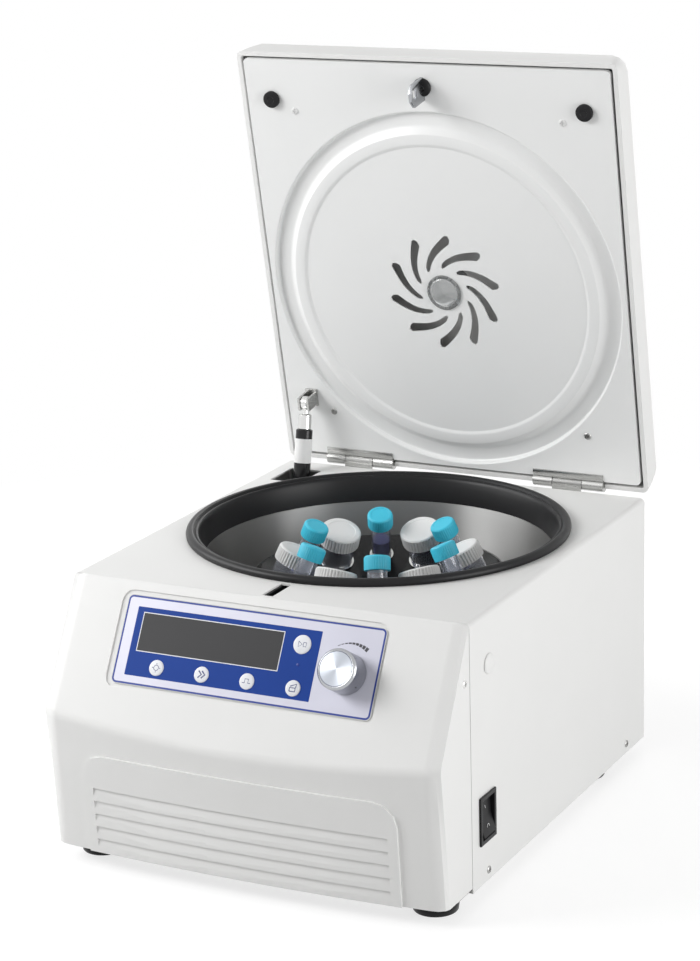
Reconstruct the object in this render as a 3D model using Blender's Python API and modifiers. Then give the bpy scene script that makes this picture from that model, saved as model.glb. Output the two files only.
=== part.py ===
"""Benchtop laboratory centrifuge with a hinged lid.

The model is built in the case's own frame: X to the right, Y to the rear with zero at the
rear face of the case, Z up with zero at the underside of the case. One empty, bench_datum,
carries everything to the final frame, whose origin is the centre of the footprint.
The lid is modelled closed around its hinge line, and its empty turns it open.
"""

import math

import bmesh
import bpy
from mathutils import Matrix
from mathutils import Vector

GAP = 0.0003                 # air left between pieces that touch
OVERRUN = 0.004              # how far a cutter runs past the wall it cuts
OVERLAP = 0.0008             # how deep shapes that are joined enter each other
MERGE_DISTANCE = 0.00001     # points nearer than this are one
SHARP_ANGLE = math.radians(35.0)

# Case: a folded sheet with the top and both sides
CASE_WIDTH = 0.345
CASE_DEPTH = 0.3637
CASE_HEIGHT = 0.2171
CASE_SHEET = 0.0015
CASE_BEND = 0.004
BEND_STEPS = 3
CASE_HALF = CASE_WIDTH / 2

# Base pan, feet and rear panel
BASE_SHEET = 0.0015
BASE_FLANGE = 0.018
BASE_TONGUE_REACH = 0.0385
BASE_TONGUE_CUT = 0.019
FOOT_HEIGHT = 0.010
FOOT_RADIUS = 0.0188
FOOT_TOE_RADIUS = 0.0178
FOOT_EDGE = 0.0012
FOOT_WELL_RADIUS = 0.006
FOOT_WELL_DEPTH = 0.004
FOOT_INSET = 0.0245
FOOT_X = CASE_HALF - FOOT_INSET
FOOT_FRONT_Y = -0.379
FOOT_REAR_Y = -0.079
VENT_SLOT_WIDTH = 0.0035
VENT_SLOT_HEIGHT = 0.046
VENT_PITCH = 0.010
VENT_COUNT = 7
VENT_X = -0.080
VENT_Z = 0.075

# Chamber: armour ring, steel bowl, rubber gasket
CHAMBER_Y = -0.1653
BOWL_RADIUS = 0.145
BOWL_SHEET = 0.001
BOWL_TOP_DROP = 0.0179
BOWL_TOP_Z = CASE_HEIGHT - BOWL_TOP_DROP
BOWL_FLOOR_Z = 0.065
BOWL_BEND = 0.026
BOWL_FLANGE = 0.0105
BOWL_HOLE_RADIUS = 0.030
RING_WALL = 0.0025
RING_RADIUS = 0.1565
GASKET_RADIUS = 0.1601
GASKET_NECK_RADIUS = 0.1518
GASKET_HEIGHT = 0.0064
GASKET_LIP = 0.0035
GASKET_UNDER_SHARE = 0.92
GASKET_CROWN_SHARES = ((-0.30, 0.30), (-0.06, 0.80), (0.36, 1.0), (0.80, 0.80), (1.0, 0.32))
BOWL_BEND_STEPS = 3

# Motor under the bowl
MOTOR_RADIUS = 0.059
MOTOR_TOP_Z = 0.0600
MOTOR_BOSS_RADIUS = 0.021
MOTOR_BOSS_Z = 0.0700
MOTOR_EDGE = 0.003
MOTOR_BORE_DEPTH = 0.018
MOUNT_HEIGHT = 0.014
MOUNT_OUTER_RADIUS = 0.072
MOUNT_INNER_RADIUS = 0.052
MOUNT_WAIST = 0.003
MOTOR_FLANGE_RADIUS = 0.0760
MOTOR_FLANGE_SHEET = 0.004
SHAFT_RADIUS = 0.008
SHAFT_FLANGE_RADIUS = 0.016
SHAFT_FLANGE_HEIGHT = 0.009
THREAD_RADIUS = 0.005
THREAD_SHARE = 0.7

# Rotor: six 50 mL and six 15 mL places on one cone
ROTOR_ANGLE = math.radians(-65.0)
TUBE_TILT = math.radians(25.0)
PLACES = 6
ROTOR_RIM_RADIUS = 0.1055
ROTOR_RIM_Z = 0.1806
ROTOR_RIM_LAND = 0.005
ROTOR_RIM_EDGE = 0.0018
ROTOR_SKIRT_RADIUS = 0.131
ROTOR_SKIRT_Z = 0.112
ROTOR_SKIRT_HEIGHT = 0.013
ROTOR_BASE_Z = 0.0865
ROTOR_HUB_Z = 0.150
ROTOR_HUB_RADIUS = 0.036
NUT_RADIUS = 0.0135
NUT_HEIGHT = 0.015
NUT_EDGE = 0.0015
BORE_PLAY = 0.0012

# Conical tubes: cap radius, cap height, body radius, overall length, cap centre
CAP50_RADIUS = 0.01725
CAP50_HEIGHT = 0.013
BODY50_RADIUS = 0.0145
LENGTH50 = 0.115
CENTRE50_R = 0.0690
CENTRE50_Z = 0.1932
CAP15_RADIUS = 0.0109
CAP15_HEIGHT = 0.0125
BODY15_RADIUS = 0.0084
LENGTH15 = 0.120
CENTRE15_R = 0.0631
CENTRE15_Z = 0.2062
CAP_EDGE = 0.0010
CAP_SKIRT = 0.0006
TUBE_CONE_SHARE = 0.16
TUBE_TIP_SHARE = 0.3

# Lid: moulded shell, hinge line and pressed liner
LID_OPEN = math.radians(78.8)
HINGE_Y = 0.006
HINGE_RISE = 0.0052
HINGE_Z = CASE_HEIGHT + HINGE_RISE
LID_OVERHANG = 0.00125
LID_HALF_WIDTH = CASE_HALF + LID_OVERHANG
LID_BACK = 0.0024
LID_FRONT = 0.3808
LID_HEIGHT = 0.0285
LID_WALL = 0.0042
LID_INSETS = (0.0, 0.0001, 0.0005, 0.0020, 0.0058)
LID_HEIGHT_SHARES = (0.0, 0.45, 0.80, 0.92, 1.0)
LID_CORNERS = (0.0052, 0.009, 0.013, 0.015, 0.016)
CORNER_STEPS = 3
LINER_MARGIN = 0.00235
LINER_HALF_WIDTH = LID_HALF_WIDTH - LID_WALL - LINER_MARGIN
LINER_BACK = 0.0047
LINER_FRONT = 0.3728
LINER_PROUD = 0.0012
LINER_SHEET = 0.0010
LINER_FLANGE = 0.0045
LINER_CORNER = 0.004
DISH_RADIUS = 0.163
DISH_DEPTH = 0.0088
DISC_RADIUS = 0.130
DISC_DEPTH = 0.0008
CREST_RADIUS = 0.1335
GROOVE_SHARES = ((0.20, 0.72), (0.44, 1.0), (0.74, 0.58))
DISH_STEPS = 32
SWIRL_COUNT = 10
SWIRL_OUTER = 0.051
SWIRL_INNER = 0.0235
SWIRL_TURN = math.radians(47.0)
SWIRL_START = math.radians(7.4)
SWIRL_WIDE = 0.0066
SWIRL_NARROW = 0.0030
SWIRL_SLANT = math.radians(125.0)
SWIRL_POWER = 1.3
SWIRL_BELLY_SHARE = 1.15
SWIRL_END_SHARE = 0.6
SWIRL_STEPS = 4
WINDOW_RADIUS = 0.0148
WINDOW_BODY_RADIUS = 0.0125
WINDOW_DOME = 0.0034
WINDOW_DOME_ANGLES = (90, 55, 0)
LID_BOSS_RADIUS = 0.0055
LID_BOSS_PLACES = ((0.123, 0.3295), (0.122, 0.0473))
BUMPER_RADIUS = 0.00725
BUMPER_INSET = 0.029
BUMPER_X = CASE_HALF - BUMPER_INSET
BUMPER_V = 0.3395
BUMPER_EDGE = 0.0009

# Hinges: steel butt hinges on the rear face
HINGE_INNER_X = 0.068
HINGE_LENGTH = 0.0655
KNUCKLE_RADIUS = 0.0052
KNUCKLE_SHARES = (0.0, 0.28, 0.70, 1.0)
PIN_RADIUS = 0.0017
LEAF_SHEET = 0.0015
CASE_LEAF_DROP = 0.030
CASE_LEAF_TOP_SHARE = 0.3
LID_LEAF_REACH = 0.0220

# Lid lock: striker on the lid, bolt in the case
STRIKER_V = 0.3555
STRIKER_LENGTH = 0.0265
STRIKER_WIDTH = 0.013
STRIKER_SHEET = 0.0028
STRIKER_HOLE_RADIUS = 0.0040
STRIKER_HOLE_SHARE = 0.70
STRIKER_CORNER_SHARE = 0.55
SLOT_WIDTH = 0.0062
SLOT_LENGTH = 0.0310
SLOT_Y = -0.3440
LOCK_WIDTH = 0.044
LOCK_HEIGHT = 0.040
BOLT_RADIUS = 0.0030
BOLT_TRAVEL = 0.011
BOLT_RETREAT = 0.0052
LOCK_COIL_RADIUS = 0.0095
LOCK_COIL_LENGTH = 0.026

# Gas strut beside the chamber, pinned to the lid
STRUT_INSET = 0.0305
STRUT_X = STRUT_INSET - CASE_HALF
STRUT_V = 0.060
STRUT_PROUD = 0.0145
STRUT_FOOT_Y = -0.070
STRUT_FOOT_Z = 0.024
STRUT_TUBE_RADIUS = 0.0075
STRUT_TUBE_LENGTH = 0.1500
STRUT_NECK_LENGTH = 0.024
STRUT_STEM_LENGTH = 0.0105
STRUT_NECK_RADIUS = 0.0048
STRUT_EYE_RADIUS = 0.0058
STRUT_EYE_WIDTH = 0.0060
STRUT_EYE_SHARE = 0.6
STRUT_ROD_RADIUS = 0.0035
STRUT_WALL = 0.0016
STRUT_ROD_ENTRY = 0.022
CLEVIS_CHEEK = 0.0022
CLEVIS_PIN_RADIUS = 0.0022
STRUT_WELL_HALF_WIDTH = 0.015
STRUT_WELL_X = (STRUT_X - STRUT_WELL_HALF_WIDTH, STRUT_X + STRUT_WELL_HALF_WIDTH)
STRUT_WELL_Y = (-0.0645, -0.0225)
ANCHOR_SHEET = 0.003
ANCHOR_CLEARANCE = 0.0010

# Front cover: moulded, with a raked control face and a bowed lower face
COVER_WALL = 0.003
COVER_TOP_LIP = 0.0023
FACE_RAKE = math.radians(29.6)
COVER_BOW = 0.006
CREASE_HEIGHT_SHARE = 0.5435
CREASE_SIDE_Z = CASE_HEIGHT * CREASE_HEIGHT_SHARE
COVER_TOE_BACK = 0.0095
FACE_EDGE_WIDTH = 0.013
FACE_HALF_WIDTH = CASE_HALF - FACE_EDGE_WIDTH
COVER_SIDE_INSET = 0.0003
CHAMFER_BACK = 0.0040
LOWER_CORNER = 0.0085
CREASE_FILLET = 0.0045
COVER_SPAN_COLUMNS = 4
COVER_CORNER_STEPS = 3
COVER_LOWER_ROWS = 3
COVER_LIP_SHARE = 0.8
CREASE_SHARES = (0.33, 0.67)
CORNER_POWER = 0.5
PANEL_TOP_SHARE = 0.756
PANEL_TOP_Z = CREASE_SIDE_Z * PANEL_TOP_SHARE
PANEL_MARGIN = 0.0222
PANEL_HALF_WIDTH = FACE_HALF_WIDTH - PANEL_MARGIN
PANEL_CORNER = 0.019
PANEL_PROUD = 0.0020
PANEL_STEPS = 3
PANEL_SPAN_SHARES = (-1, -0.6, -0.2, 0.2, 0.6, 1)
LOUVRE_COUNT = 5
LOUVRE_TOP_SHARE = 0.68
LOUVRE_TOP_Z = PANEL_TOP_Z * LOUVRE_TOP_SHARE
LOUVRE_PITCH_SHARE = 0.182
LOUVRE_PITCH = LOUVRE_TOP_Z * LOUVRE_PITCH_SHARE
LOUVRE_MARGIN = 0.0082
LOUVRE_HALF_WIDTH = PANEL_HALF_WIDTH - LOUVRE_MARGIN
LOUVRE_HEIGHT = 0.0070
LOUVRE_DEPTH = 0.0022
TAB_Y = -0.3732
TAB_DROP = 0.0441
TAB_Z = CASE_HEIGHT - TAB_DROP
TAB_HALF_HEIGHT = 0.0065
TAB_HALF_DEPTH = 0.0035
TAB_REACH = 0.0120

# Control panel, in the plane of the raked face: along X and down the slope
RECESS_CENTRE_X = -0.0057
RECESS_CENTRE_S = 0.0463
RECESS_WIDTH = 0.2335
RECESS_LENGTH = 0.0788
RECESS_DEPTH = 0.0012
RECESS_CORNER = 0.009
OVERLAY_WIDTH = 0.2265
OVERLAY_LENGTH = 0.0716
OVERLAY_SHEET = 0.0008
OVERLAY_CORNER = 0.0045
DISPLAY_X = -0.038
DISPLAY_S = 0.0391
DISPLAY_WIDTH = 0.1240
DISPLAY_LENGTH = 0.0303
START_KEY_PLACE = (0.0411, 0.0316)
START_KEY_RADIUS = 0.0075
KEY_RADIUS = 0.00635
KEY_S = 0.0658
KEY_PLACES_X = (-0.0792, -0.0390, 0.0009, 0.0408)
KEY_NAMES = ("key_set", "key_shift", "key_pulse", "key_lid")
KEY_PROUD = 0.0007
KEY_TRAVEL = 0.0006
KEY_FLANGE = 0.0009
KEY_STEM_RADIUS = 0.0020
KEY_CROWN_SHARE = 0.92
KEY_STEPS = 12
LAMP_PLACE = (0.0408, 0.0475)
LAMP_RADIUS = 0.0013
BOARD_DEPTH = 0.0125
BOARD_SHEET = 0.0016
BOARD_WIDTH = 0.210
BOARD_LENGTH = 0.058
TACT_SIDE = 0.006
TACT_HEIGHT = 0.0038
BOARD_BOSS_RADIUS = 0.0035
KNOB_PLACE = (0.0830, 0.0492)
KNOB_RADIUS = 0.0161
KNOB_HEIGHT = 0.0205
KNOB_EDGE = 0.0010
KNOB_WALL = 0.0022
KNOB_FACE = 0.0030
KNOB_SHAFT_RADIUS = 0.0030
BUSHING_RADIUS = 0.0045
ENCODER_SIDE = 0.0130
ENCODER_SHAFT_SHARE = 0.25
KNOB_STEM_SHARE = 0.5

# Right side: power switch and release plug
SWITCH_Y = -0.3365
SWITCH_Z = 0.0532
SWITCH_WIDTH = 0.0290
SWITCH_HEIGHT = 0.0393
SWITCH_RIM = 0.0016
SWITCH_FRAME = 0.0035
SWITCH_NECK_INSET = 0.0012
SWITCH_DEPTH = 0.026
ROCKER_TILT = math.radians(9.5)
ROCKER_PIVOT_INSET = 0.0045
ROCKER_FACE = 0.0030
ROCKER_END_RISE = 0.0019
ROCKER_BACK = 0.0045
ROCKER_PLAY = 0.0010
ROCKER_BACK_SHARE = 0.8
PLUG_Y = -0.330
PLUG_DROP = 0.0416
PLUG_Z = CASE_HEIGHT - PLUG_DROP
PLUG_RADIUS = 0.0085
PLUG_DOME = 0.0029
PLUG_NECK_RADIUS = 0.0052
PLUG_NECK_LENGTH = 0.0080
PLUG_DOME_ANGLES = (0, 35, 65, 90)

# Rear inlet
INLET_X = 0.132
INLET_Z = 0.042
INLET_FLANGE_WIDTH = 0.049
INLET_FLANGE_HEIGHT = 0.029
INLET_FLANGE_SHEET = 0.0024
INLET_BODY_WIDTH = 0.0285
INLET_BODY_HEIGHT = 0.0230
INLET_BODY_DEPTH = 0.024
INLET_SOCKET_WIDTH = 0.0244
INLET_SOCKET_HEIGHT = 0.0165
INLET_SOCKET_DEPTH = 0.0160
INLET_BEVEL = 0.0050
INLET_PIN_WIDTH = 0.0020
INLET_PIN_HEIGHT = 0.0040
INLET_PIN_PITCH = 0.0070

# Drive electronics on the base
DRIVE_BOARD_X = (-0.115, 0.065)
DRIVE_BOARD_Y = (-0.388, -0.332)
STANDOFF_HEIGHT = 0.009
STANDOFF_RADIUS = 0.004
SINK_X = (-0.094, -0.056)
SINK_HALF_DEPTH = 0.014
SINK_HEIGHT = 0.018
CAPACITOR_XS = (-0.018, 0.009, 0.036)
CAPACITOR_RADIUS = 0.008
CAPACITOR_HEIGHT = 0.014

# Derived places
CASE_TOP_UNDERSIDE = CASE_HEIGHT - CASE_SHEET
FACE_TOP_Y = -CASE_DEPTH - COVER_TOP_LIP
FACE_TOP_Z = CASE_HEIGHT
CREASE_SIDE_Y = FACE_TOP_Y - (FACE_TOP_Z - CREASE_SIDE_Z) * math.tan(FACE_RAKE)
LINER_LENGTH = LINER_FRONT - LINER_BACK
DISH_V = HINGE_Y - CHAMBER_Y
SIDE_REACH = CASE_HALF + GAP + PLUG_DOME
COVER_REACH = CREASE_SIDE_Y - COVER_BOW


def lid_rear_reach():
    """Y of the rearmost point of the open lid, in the case's frame."""
    reach = HINGE_Y
    for inset, share in zip(LID_INSETS, LID_HEIGHT_SHARES):
        back = LID_BACK - inset
        height = LID_HEIGHT * share
        reach = max(reach, HINGE_Y + back * math.cos(LID_OPEN) + height * math.sin(LID_OPEN))
    return reach


DATUM_X = -(SIDE_REACH - LID_HALF_WIDTH) / 2
DATUM_Y = -(COVER_REACH + lid_rear_reach()) / 2

for old in list(bpy.data.objects):
    bpy.data.objects.remove(old)

parts = bpy.data.collections.new("benchtop_centrifuge")
cutters = bpy.data.collections.new("cutters")
bpy.context.scene.collection.children.link(parts)
bpy.context.scene.collection.children.link(cutters)


def empty(name, parent=None, location=(0, 0, 0), rotation=(0, 0, 0)):
    """A datum or a joint: it carries pieces and is no piece itself."""
    holder = bpy.data.objects.new(name, None)
    parts.objects.link(holder)
    holder.parent = parent
    holder.location = location
    holder.rotation_euler = rotation
    return holder


def material(name, colour, roughness, metallic):
    """One Principled material."""
    made = bpy.data.materials.new(name)
    made.use_nodes = True
    shader = made.node_tree.nodes["Principled BSDF"]
    shader.inputs["Base Color"].default_value = (*colour, 1)
    shader.inputs["Roughness"].default_value = roughness
    shader.inputs["Metallic"].default_value = metallic
    made.diffuse_color = (*colour, 1)
    return made


FINISHES = {
    "paint": ((0.80, 0.80, 0.79), 0.45, 0.0),
    "moulding": ((0.82, 0.82, 0.81), 0.5, 0.0),
    "liner": ((0.74, 0.75, 0.75), 0.4, 0.0),
    "rubber": ((0.02, 0.02, 0.02), 0.6, 0.0),
    "black": ((0.03, 0.03, 0.032), 0.45, 0.0),
    "steel": ((0.55, 0.55, 0.54), 0.3, 1.0),
    "zinc": ((0.68, 0.68, 0.67), 0.35, 1.0),
    "chrome": ((0.80, 0.80, 0.80), 0.15, 1.0),
    "turquoise": ((0.03, 0.45, 0.60), 0.45, 0.0),
    "white": ((0.75, 0.75, 0.74), 0.5, 0.0),
    "clear": ((0.60, 0.62, 0.63), 0.1, 0.0),
    "overlay": ((0.03, 0.09, 0.42), 0.4, 0.0),
    "screen": ((0.07, 0.07, 0.07), 0.25, 0.0),
    "board": ((0.02, 0.16, 0.07), 0.5, 0.0),
    "aluminium": ((0.70, 0.71, 0.72), 0.35, 1.0),
}


def place(name, mesh, finish, parent, location=(0, 0, 0), rotation=(0, 0, 0)):
    """Makes a named part of a mesh."""
    mesh.name = name
    mesh.shade_smooth()
    mesh.set_sharp_from_angle(angle=SHARP_ANGLE)
    piece = bpy.data.objects.new(name, mesh)
    parts.objects.link(piece)
    mesh.materials.clear()
    mesh.materials.append(material(name, *FINISHES[finish]))
    piece.parent = parent
    piece.location = location
    piece.rotation_euler = rotation
    return piece


def tool(name, mesh, parent, location=(0, 0, 0), rotation=(0, 0, 0)):
    """A shape that only cuts or joins: it is never built as a piece."""
    shape = bpy.data.objects.new(name, mesh)
    cutters.objects.link(shape)
    shape.parent = parent
    shape.location = location
    shape.rotation_euler = rotation
    shape.hide_render = True
    shape.display_type = "WIRE"
    return shape


def combine(piece, shape, operation):
    """Boolean of a piece with a tool."""
    step = piece.modifiers.new(shape.name, "BOOLEAN")
    step.operation = operation
    step.solver = "EXACT"
    step.object = shape
    return piece


def cut(piece, *shapes):
    for shape in shapes:
        combine(piece, shape, "DIFFERENCE")
    return piece


def join(piece, *shapes):
    for shape in shapes:
        combine(piece, shape, "UNION")
    return piece


def mesh_of(shape):
    """Turns a bmesh into a mesh."""
    mesh = bpy.data.meshes.new("mesh")
    shape.normal_update()
    shape.to_mesh(mesh)
    shape.free()
    return mesh


def add_box(shape, low, high):
    """A box between two corners, added to a bmesh."""
    made = bmesh.ops.create_cube(shape, size=1)["verts"]
    size = [b - a for a, b in zip(low, high)]
    middle = [(a + b) / 2 for a, b in zip(low, high)]
    bmesh.ops.scale(shape, vec=size, verts=made)
    bmesh.ops.translate(shape, vec=middle, verts=made)
    return made


def box(low, high):
    shape = bmesh.new()
    add_box(shape, low, high)
    return mesh_of(shape)


def add_cylinder(shape, radius, length, matrix=Matrix(), steps=16, tip_radius=None):
    """A cylinder or cone along its own Z, centred, then moved by the matrix."""
    tip = radius if tip_radius is None else tip_radius
    return bmesh.ops.create_cone(shape, cap_ends=True, segments=steps, radius1=radius,
                                 radius2=tip, depth=length, matrix=matrix)


def cylinder(radius, length, matrix=Matrix(), steps=16):
    shape = bmesh.new()
    add_cylinder(shape, radius, length, matrix, steps)
    return mesh_of(shape)


def along_x(centre):
    return Matrix.Translation(centre) @ Matrix.Rotation(math.radians(90), 4, "Y")


def along_y(centre):
    return Matrix.Translation(centre) @ Matrix.Rotation(math.radians(90), 4, "X")


def turned(profile, steps, closed=True, wall=None):
    """A turned mesh: the profile of (radius, height) points runs down its outer side."""
    line = bpy.data.meshes.new("profile")
    points = [(r, 0, z) for r, z in profile]
    edges = [(n, n + 1) for n in range(len(points) - 1)]
    if closed:
        edges.append((len(points) - 1, 0))
    line.from_pydata(points, edges, [])
    lathe = bpy.data.objects.new("lathe", line)
    cutters.objects.link(lathe)
    screw = lathe.modifiers.new("turn", "SCREW")
    screw.axis = "Z"
    screw.steps = steps
    screw.render_steps = steps
    screw.use_merge_vertices = True
    screw.merge_threshold = MERGE_DISTANCE
    screw.use_normal_calculate = False
    if wall:
        shell = lathe.modifiers.new("wall", "SOLIDIFY")
        shell.thickness = wall
        shell.offset = 1
    return taken(lathe)


def taken(source):
    """The evaluated mesh of an object, which is then removed."""
    bpy.context.view_layer.update()
    graph = bpy.context.evaluated_depsgraph_get()
    mesh = bpy.data.meshes.new_from_object(source.evaluated_get(graph))
    mesh.transform(source.matrix_world)
    bpy.data.objects.remove(source)
    return mesh


def flat_plate(outline, thickness):
    """A plate of a flat outline in XY, centred on its thickness along Z."""
    loops = [[(x, y, side * thickness / 2) for x, y in outline] for side in (-1, 1)]
    return mesh_of(loft(loops, close_first=True, close_last=True))


def rounded(low, high, radius, steps=CORNER_STEPS):
    """A rectangle with round corners, counter-clockwise from the lower right corner."""
    corners = ((high[0] - radius, low[1] + radius, -90), (high[0] - radius, high[1] - radius, 0),
               (low[0] + radius, high[1] - radius, 90), (low[0] + radius, low[1] + radius, 180))
    points = []
    for x, y, start in corners:
        for n in range(steps + 1):
            angle = math.radians(start + 90 * n / steps)
            points.append((x + radius * math.cos(angle), y + radius * math.sin(angle)))
    return points


def rounded_block(centre, size, depth, radius, steps=CORNER_STEPS):
    """A block with round vertical edges between two heights of Z."""
    low = (centre[0] - size[0] / 2, centre[1] - size[1] / 2)
    high = (centre[0] + size[0] / 2, centre[1] + size[1] / 2)
    mesh = flat_plate(rounded(low, high, radius, steps), depth[1] - depth[0])
    mesh.transform(Matrix.Translation((0, 0, (depth[0] + depth[1]) / 2)))
    return mesh


def loft(loops, close_first=False, close_last=False):
    """Faces between loops of as many points each."""
    shape = bmesh.new()
    rings = [[shape.verts.new(point) for point in loop] for loop in loops]
    for lower, upper in zip(rings, rings[1:]):
        for n in range(len(lower)):
            m = (n + 1) % len(lower)
            shape.faces.new((lower[n], lower[m], upper[m], upper[n]))
    if close_first:
        shape.faces.new(rings[0])
    if close_last:
        shape.faces.new(rings[-1])
    bmesh.ops.recalc_face_normals(shape, faces=shape.faces)
    return shape


datum = empty("bench_datum", None, (DATUM_X, DATUM_Y, FOOT_HEIGHT))


def case_shell():
    """Top and sides folded from one sheet, with the cut-outs for what passes through."""
    bend = [(CASE_HALF - CASE_BEND + CASE_BEND * math.cos(math.radians(90 * n / BEND_STEPS)),
             CASE_HEIGHT - CASE_BEND + CASE_BEND * math.sin(math.radians(90 * n / BEND_STEPS)))
            for n in range(BEND_STEPS + 1)]
    right = [(CASE_HALF, 0)] + bend
    outline = right + [(-x, z) for x, z in reversed(right)]
    shape = bmesh.new()
    front = [shape.verts.new((x, -CASE_DEPTH, z)) for x, z in outline]
    rear = [shape.verts.new((x, 0, z)) for x, z in outline]
    for n in range(len(outline) - 1):
        shape.faces.new((front[n], rear[n], rear[n + 1], front[n + 1]))
    piece = place("case_shell", mesh_of(shape), "paint", datum)
    fold = piece.modifiers.new("sheet", "SOLIDIFY")
    fold.thickness = CASE_SHEET
    fold.offset = -1
    mouth = cylinder(GASKET_NECK_RADIUS + GAP, 2 * OVERRUN,
                     Matrix.Translation((0, CHAMBER_Y, CASE_HEIGHT)), DISH_STEPS)
    slot = rounded_block((0, SLOT_Y), (SLOT_WIDTH, SLOT_LENGTH),
                         (CASE_HEIGHT - OVERRUN, CASE_HEIGHT + OVERRUN), SLOT_WIDTH / 3, 3)
    well = box((STRUT_WELL_X[0], STRUT_WELL_Y[0], CASE_HEIGHT - OVERRUN),
               (STRUT_WELL_X[1], STRUT_WELL_Y[1], CASE_HEIGHT + OVERRUN))
    neck_y = SWITCH_WIDTH / 2 - SWITCH_NECK_INSET + GAP
    neck_z = SWITCH_HEIGHT / 2 - SWITCH_NECK_INSET + GAP
    switch = box((CASE_HALF - OVERRUN, SWITCH_Y - neck_y, SWITCH_Z - neck_z),
                 (CASE_HALF + OVERRUN, SWITCH_Y + neck_y, SWITCH_Z + neck_z))
    plug = cylinder(PLUG_NECK_RADIUS + GAP, 2 * OVERRUN, along_x((CASE_HALF, PLUG_Y, PLUG_Z)))
    cut(piece, tool("cut_mouth", mouth, datum), tool("cut_slot", slot, datum),
        tool("cut_strut_well", well, datum), tool("cut_switch", switch, datum),
        tool("cut_plug", plug, datum))
    cover_tabs(piece)


def cover_tabs(case):
    """Tabs welded inside the case's front edge: the cover's sides are fastened to them."""
    inner = CASE_HALF - COVER_SIDE_INSET - COVER_WALL - GAP
    plates = bmesh.new()
    pads = bmesh.new()
    for side in (-1, 1):
        xs = sorted((side * inner, side * (inner - CASE_SHEET)))
        add_box(plates, (xs[0], TAB_Y - TAB_HALF_DEPTH, TAB_Z - TAB_HALF_HEIGHT),
                (xs[1], -CASE_DEPTH + TAB_REACH, TAB_Z + TAB_HALF_HEIGHT))
        xs = sorted((side * (inner - OVERLAP), side * (CASE_HALF - OVERLAP)))
        add_box(pads, (xs[0], -CASE_DEPTH + GAP, TAB_Z - TAB_HALF_HEIGHT + OVERLAP),
                (xs[1], -CASE_DEPTH + TAB_REACH - OVERLAP, TAB_Z + TAB_HALF_HEIGHT - OVERLAP))
    join(case, tool("tab_pads", mesh_of(pads), datum), tool("tab_plates", mesh_of(plates), datum))


def base_plate():
    """Pan that carries the feet, the ring, the motor and the electronics."""
    half = CASE_HALF - CASE_SHEET - GAP
    inner = CASE_HALF - COVER_SIDE_INSET - COVER_WALL - GAP
    seam = -CASE_DEPTH
    toe = seam - BASE_TONGUE_REACH
    right = [(half, -CASE_SHEET - GAP), (half, seam), (inner, seam),
             (inner, toe + BASE_TONGUE_CUT), (inner - BASE_TONGUE_CUT, toe)]
    outline = right + [(-x, y) for x, y in reversed(right)]
    floor = flat_plate(outline, BASE_SHEET)
    floor.transform(Matrix.Translation((0, 0, BASE_SHEET / 2)))
    piece = place("base_plate", floor, "zinc", datum)
    for side in (-1, 1):
        edge = half - 2 * GAP
        xs = sorted((side * edge, side * (edge - BASE_SHEET)))
        flange = box((xs[0], seam + CASE_BEND, BASE_SHEET - OVERLAP),
                     (xs[1], -CASE_SHEET - CASE_BEND, BASE_FLANGE))
        join(piece, tool("flange", flange, datum))
    posts = bmesh.new()
    for x, y in board_corners():
        top = BASE_SHEET + STANDOFF_HEIGHT
        add_cylinder(posts, STANDOFF_RADIUS, top - BASE_SHEET + OVERLAP,
                     Matrix.Translation((x, y, (top + BASE_SHEET - OVERLAP) / 2)), 8)
    join(piece, tool("standoffs", mesh_of(posts), datum))
    anchor_x = STRUT_X - STRUT_EYE_WIDTH / 2 - ANCHOR_CLEARANCE
    anchor = box((anchor_x - ANCHOR_SHEET, STRUT_FOOT_Y - STRUT_EYE_RADIUS, BASE_SHEET - OVERLAP),
                 (anchor_x, STRUT_FOOT_Y + STRUT_EYE_RADIUS, STRUT_FOOT_Z + STRUT_EYE_RADIUS))
    join(piece, tool("strut_anchor", anchor, datum))


def board_corners():
    inset = 2 * STANDOFF_RADIUS
    return [(x, y) for x in (DRIVE_BOARD_X[0] + inset, DRIVE_BOARD_X[1] - inset)
            for y in (DRIVE_BOARD_Y[0] + inset, DRIVE_BOARD_Y[1] - inset)]


def feet():
    """Four turned rubber feet with a screw well."""
    top = -GAP
    toe = -FOOT_HEIGHT
    profile = [(0, top), (FOOT_RADIUS, top), (FOOT_TOE_RADIUS, toe + FOOT_EDGE),
               (FOOT_TOE_RADIUS - FOOT_EDGE, toe), (FOOT_WELL_RADIUS, toe),
               (FOOT_WELL_RADIUS, toe + FOOT_WELL_DEPTH), (0, toe + FOOT_WELL_DEPTH)]
    mesh = turned(profile, 16, closed=False)
    for end, y in (("front", FOOT_FRONT_Y), ("rear", FOOT_REAR_Y)):
        for side, x in (("left", -FOOT_X), ("right", FOOT_X)):
            place(f"foot_{end}_{side}", mesh.copy(), "rubber", datum, (x, y, 0))


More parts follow.
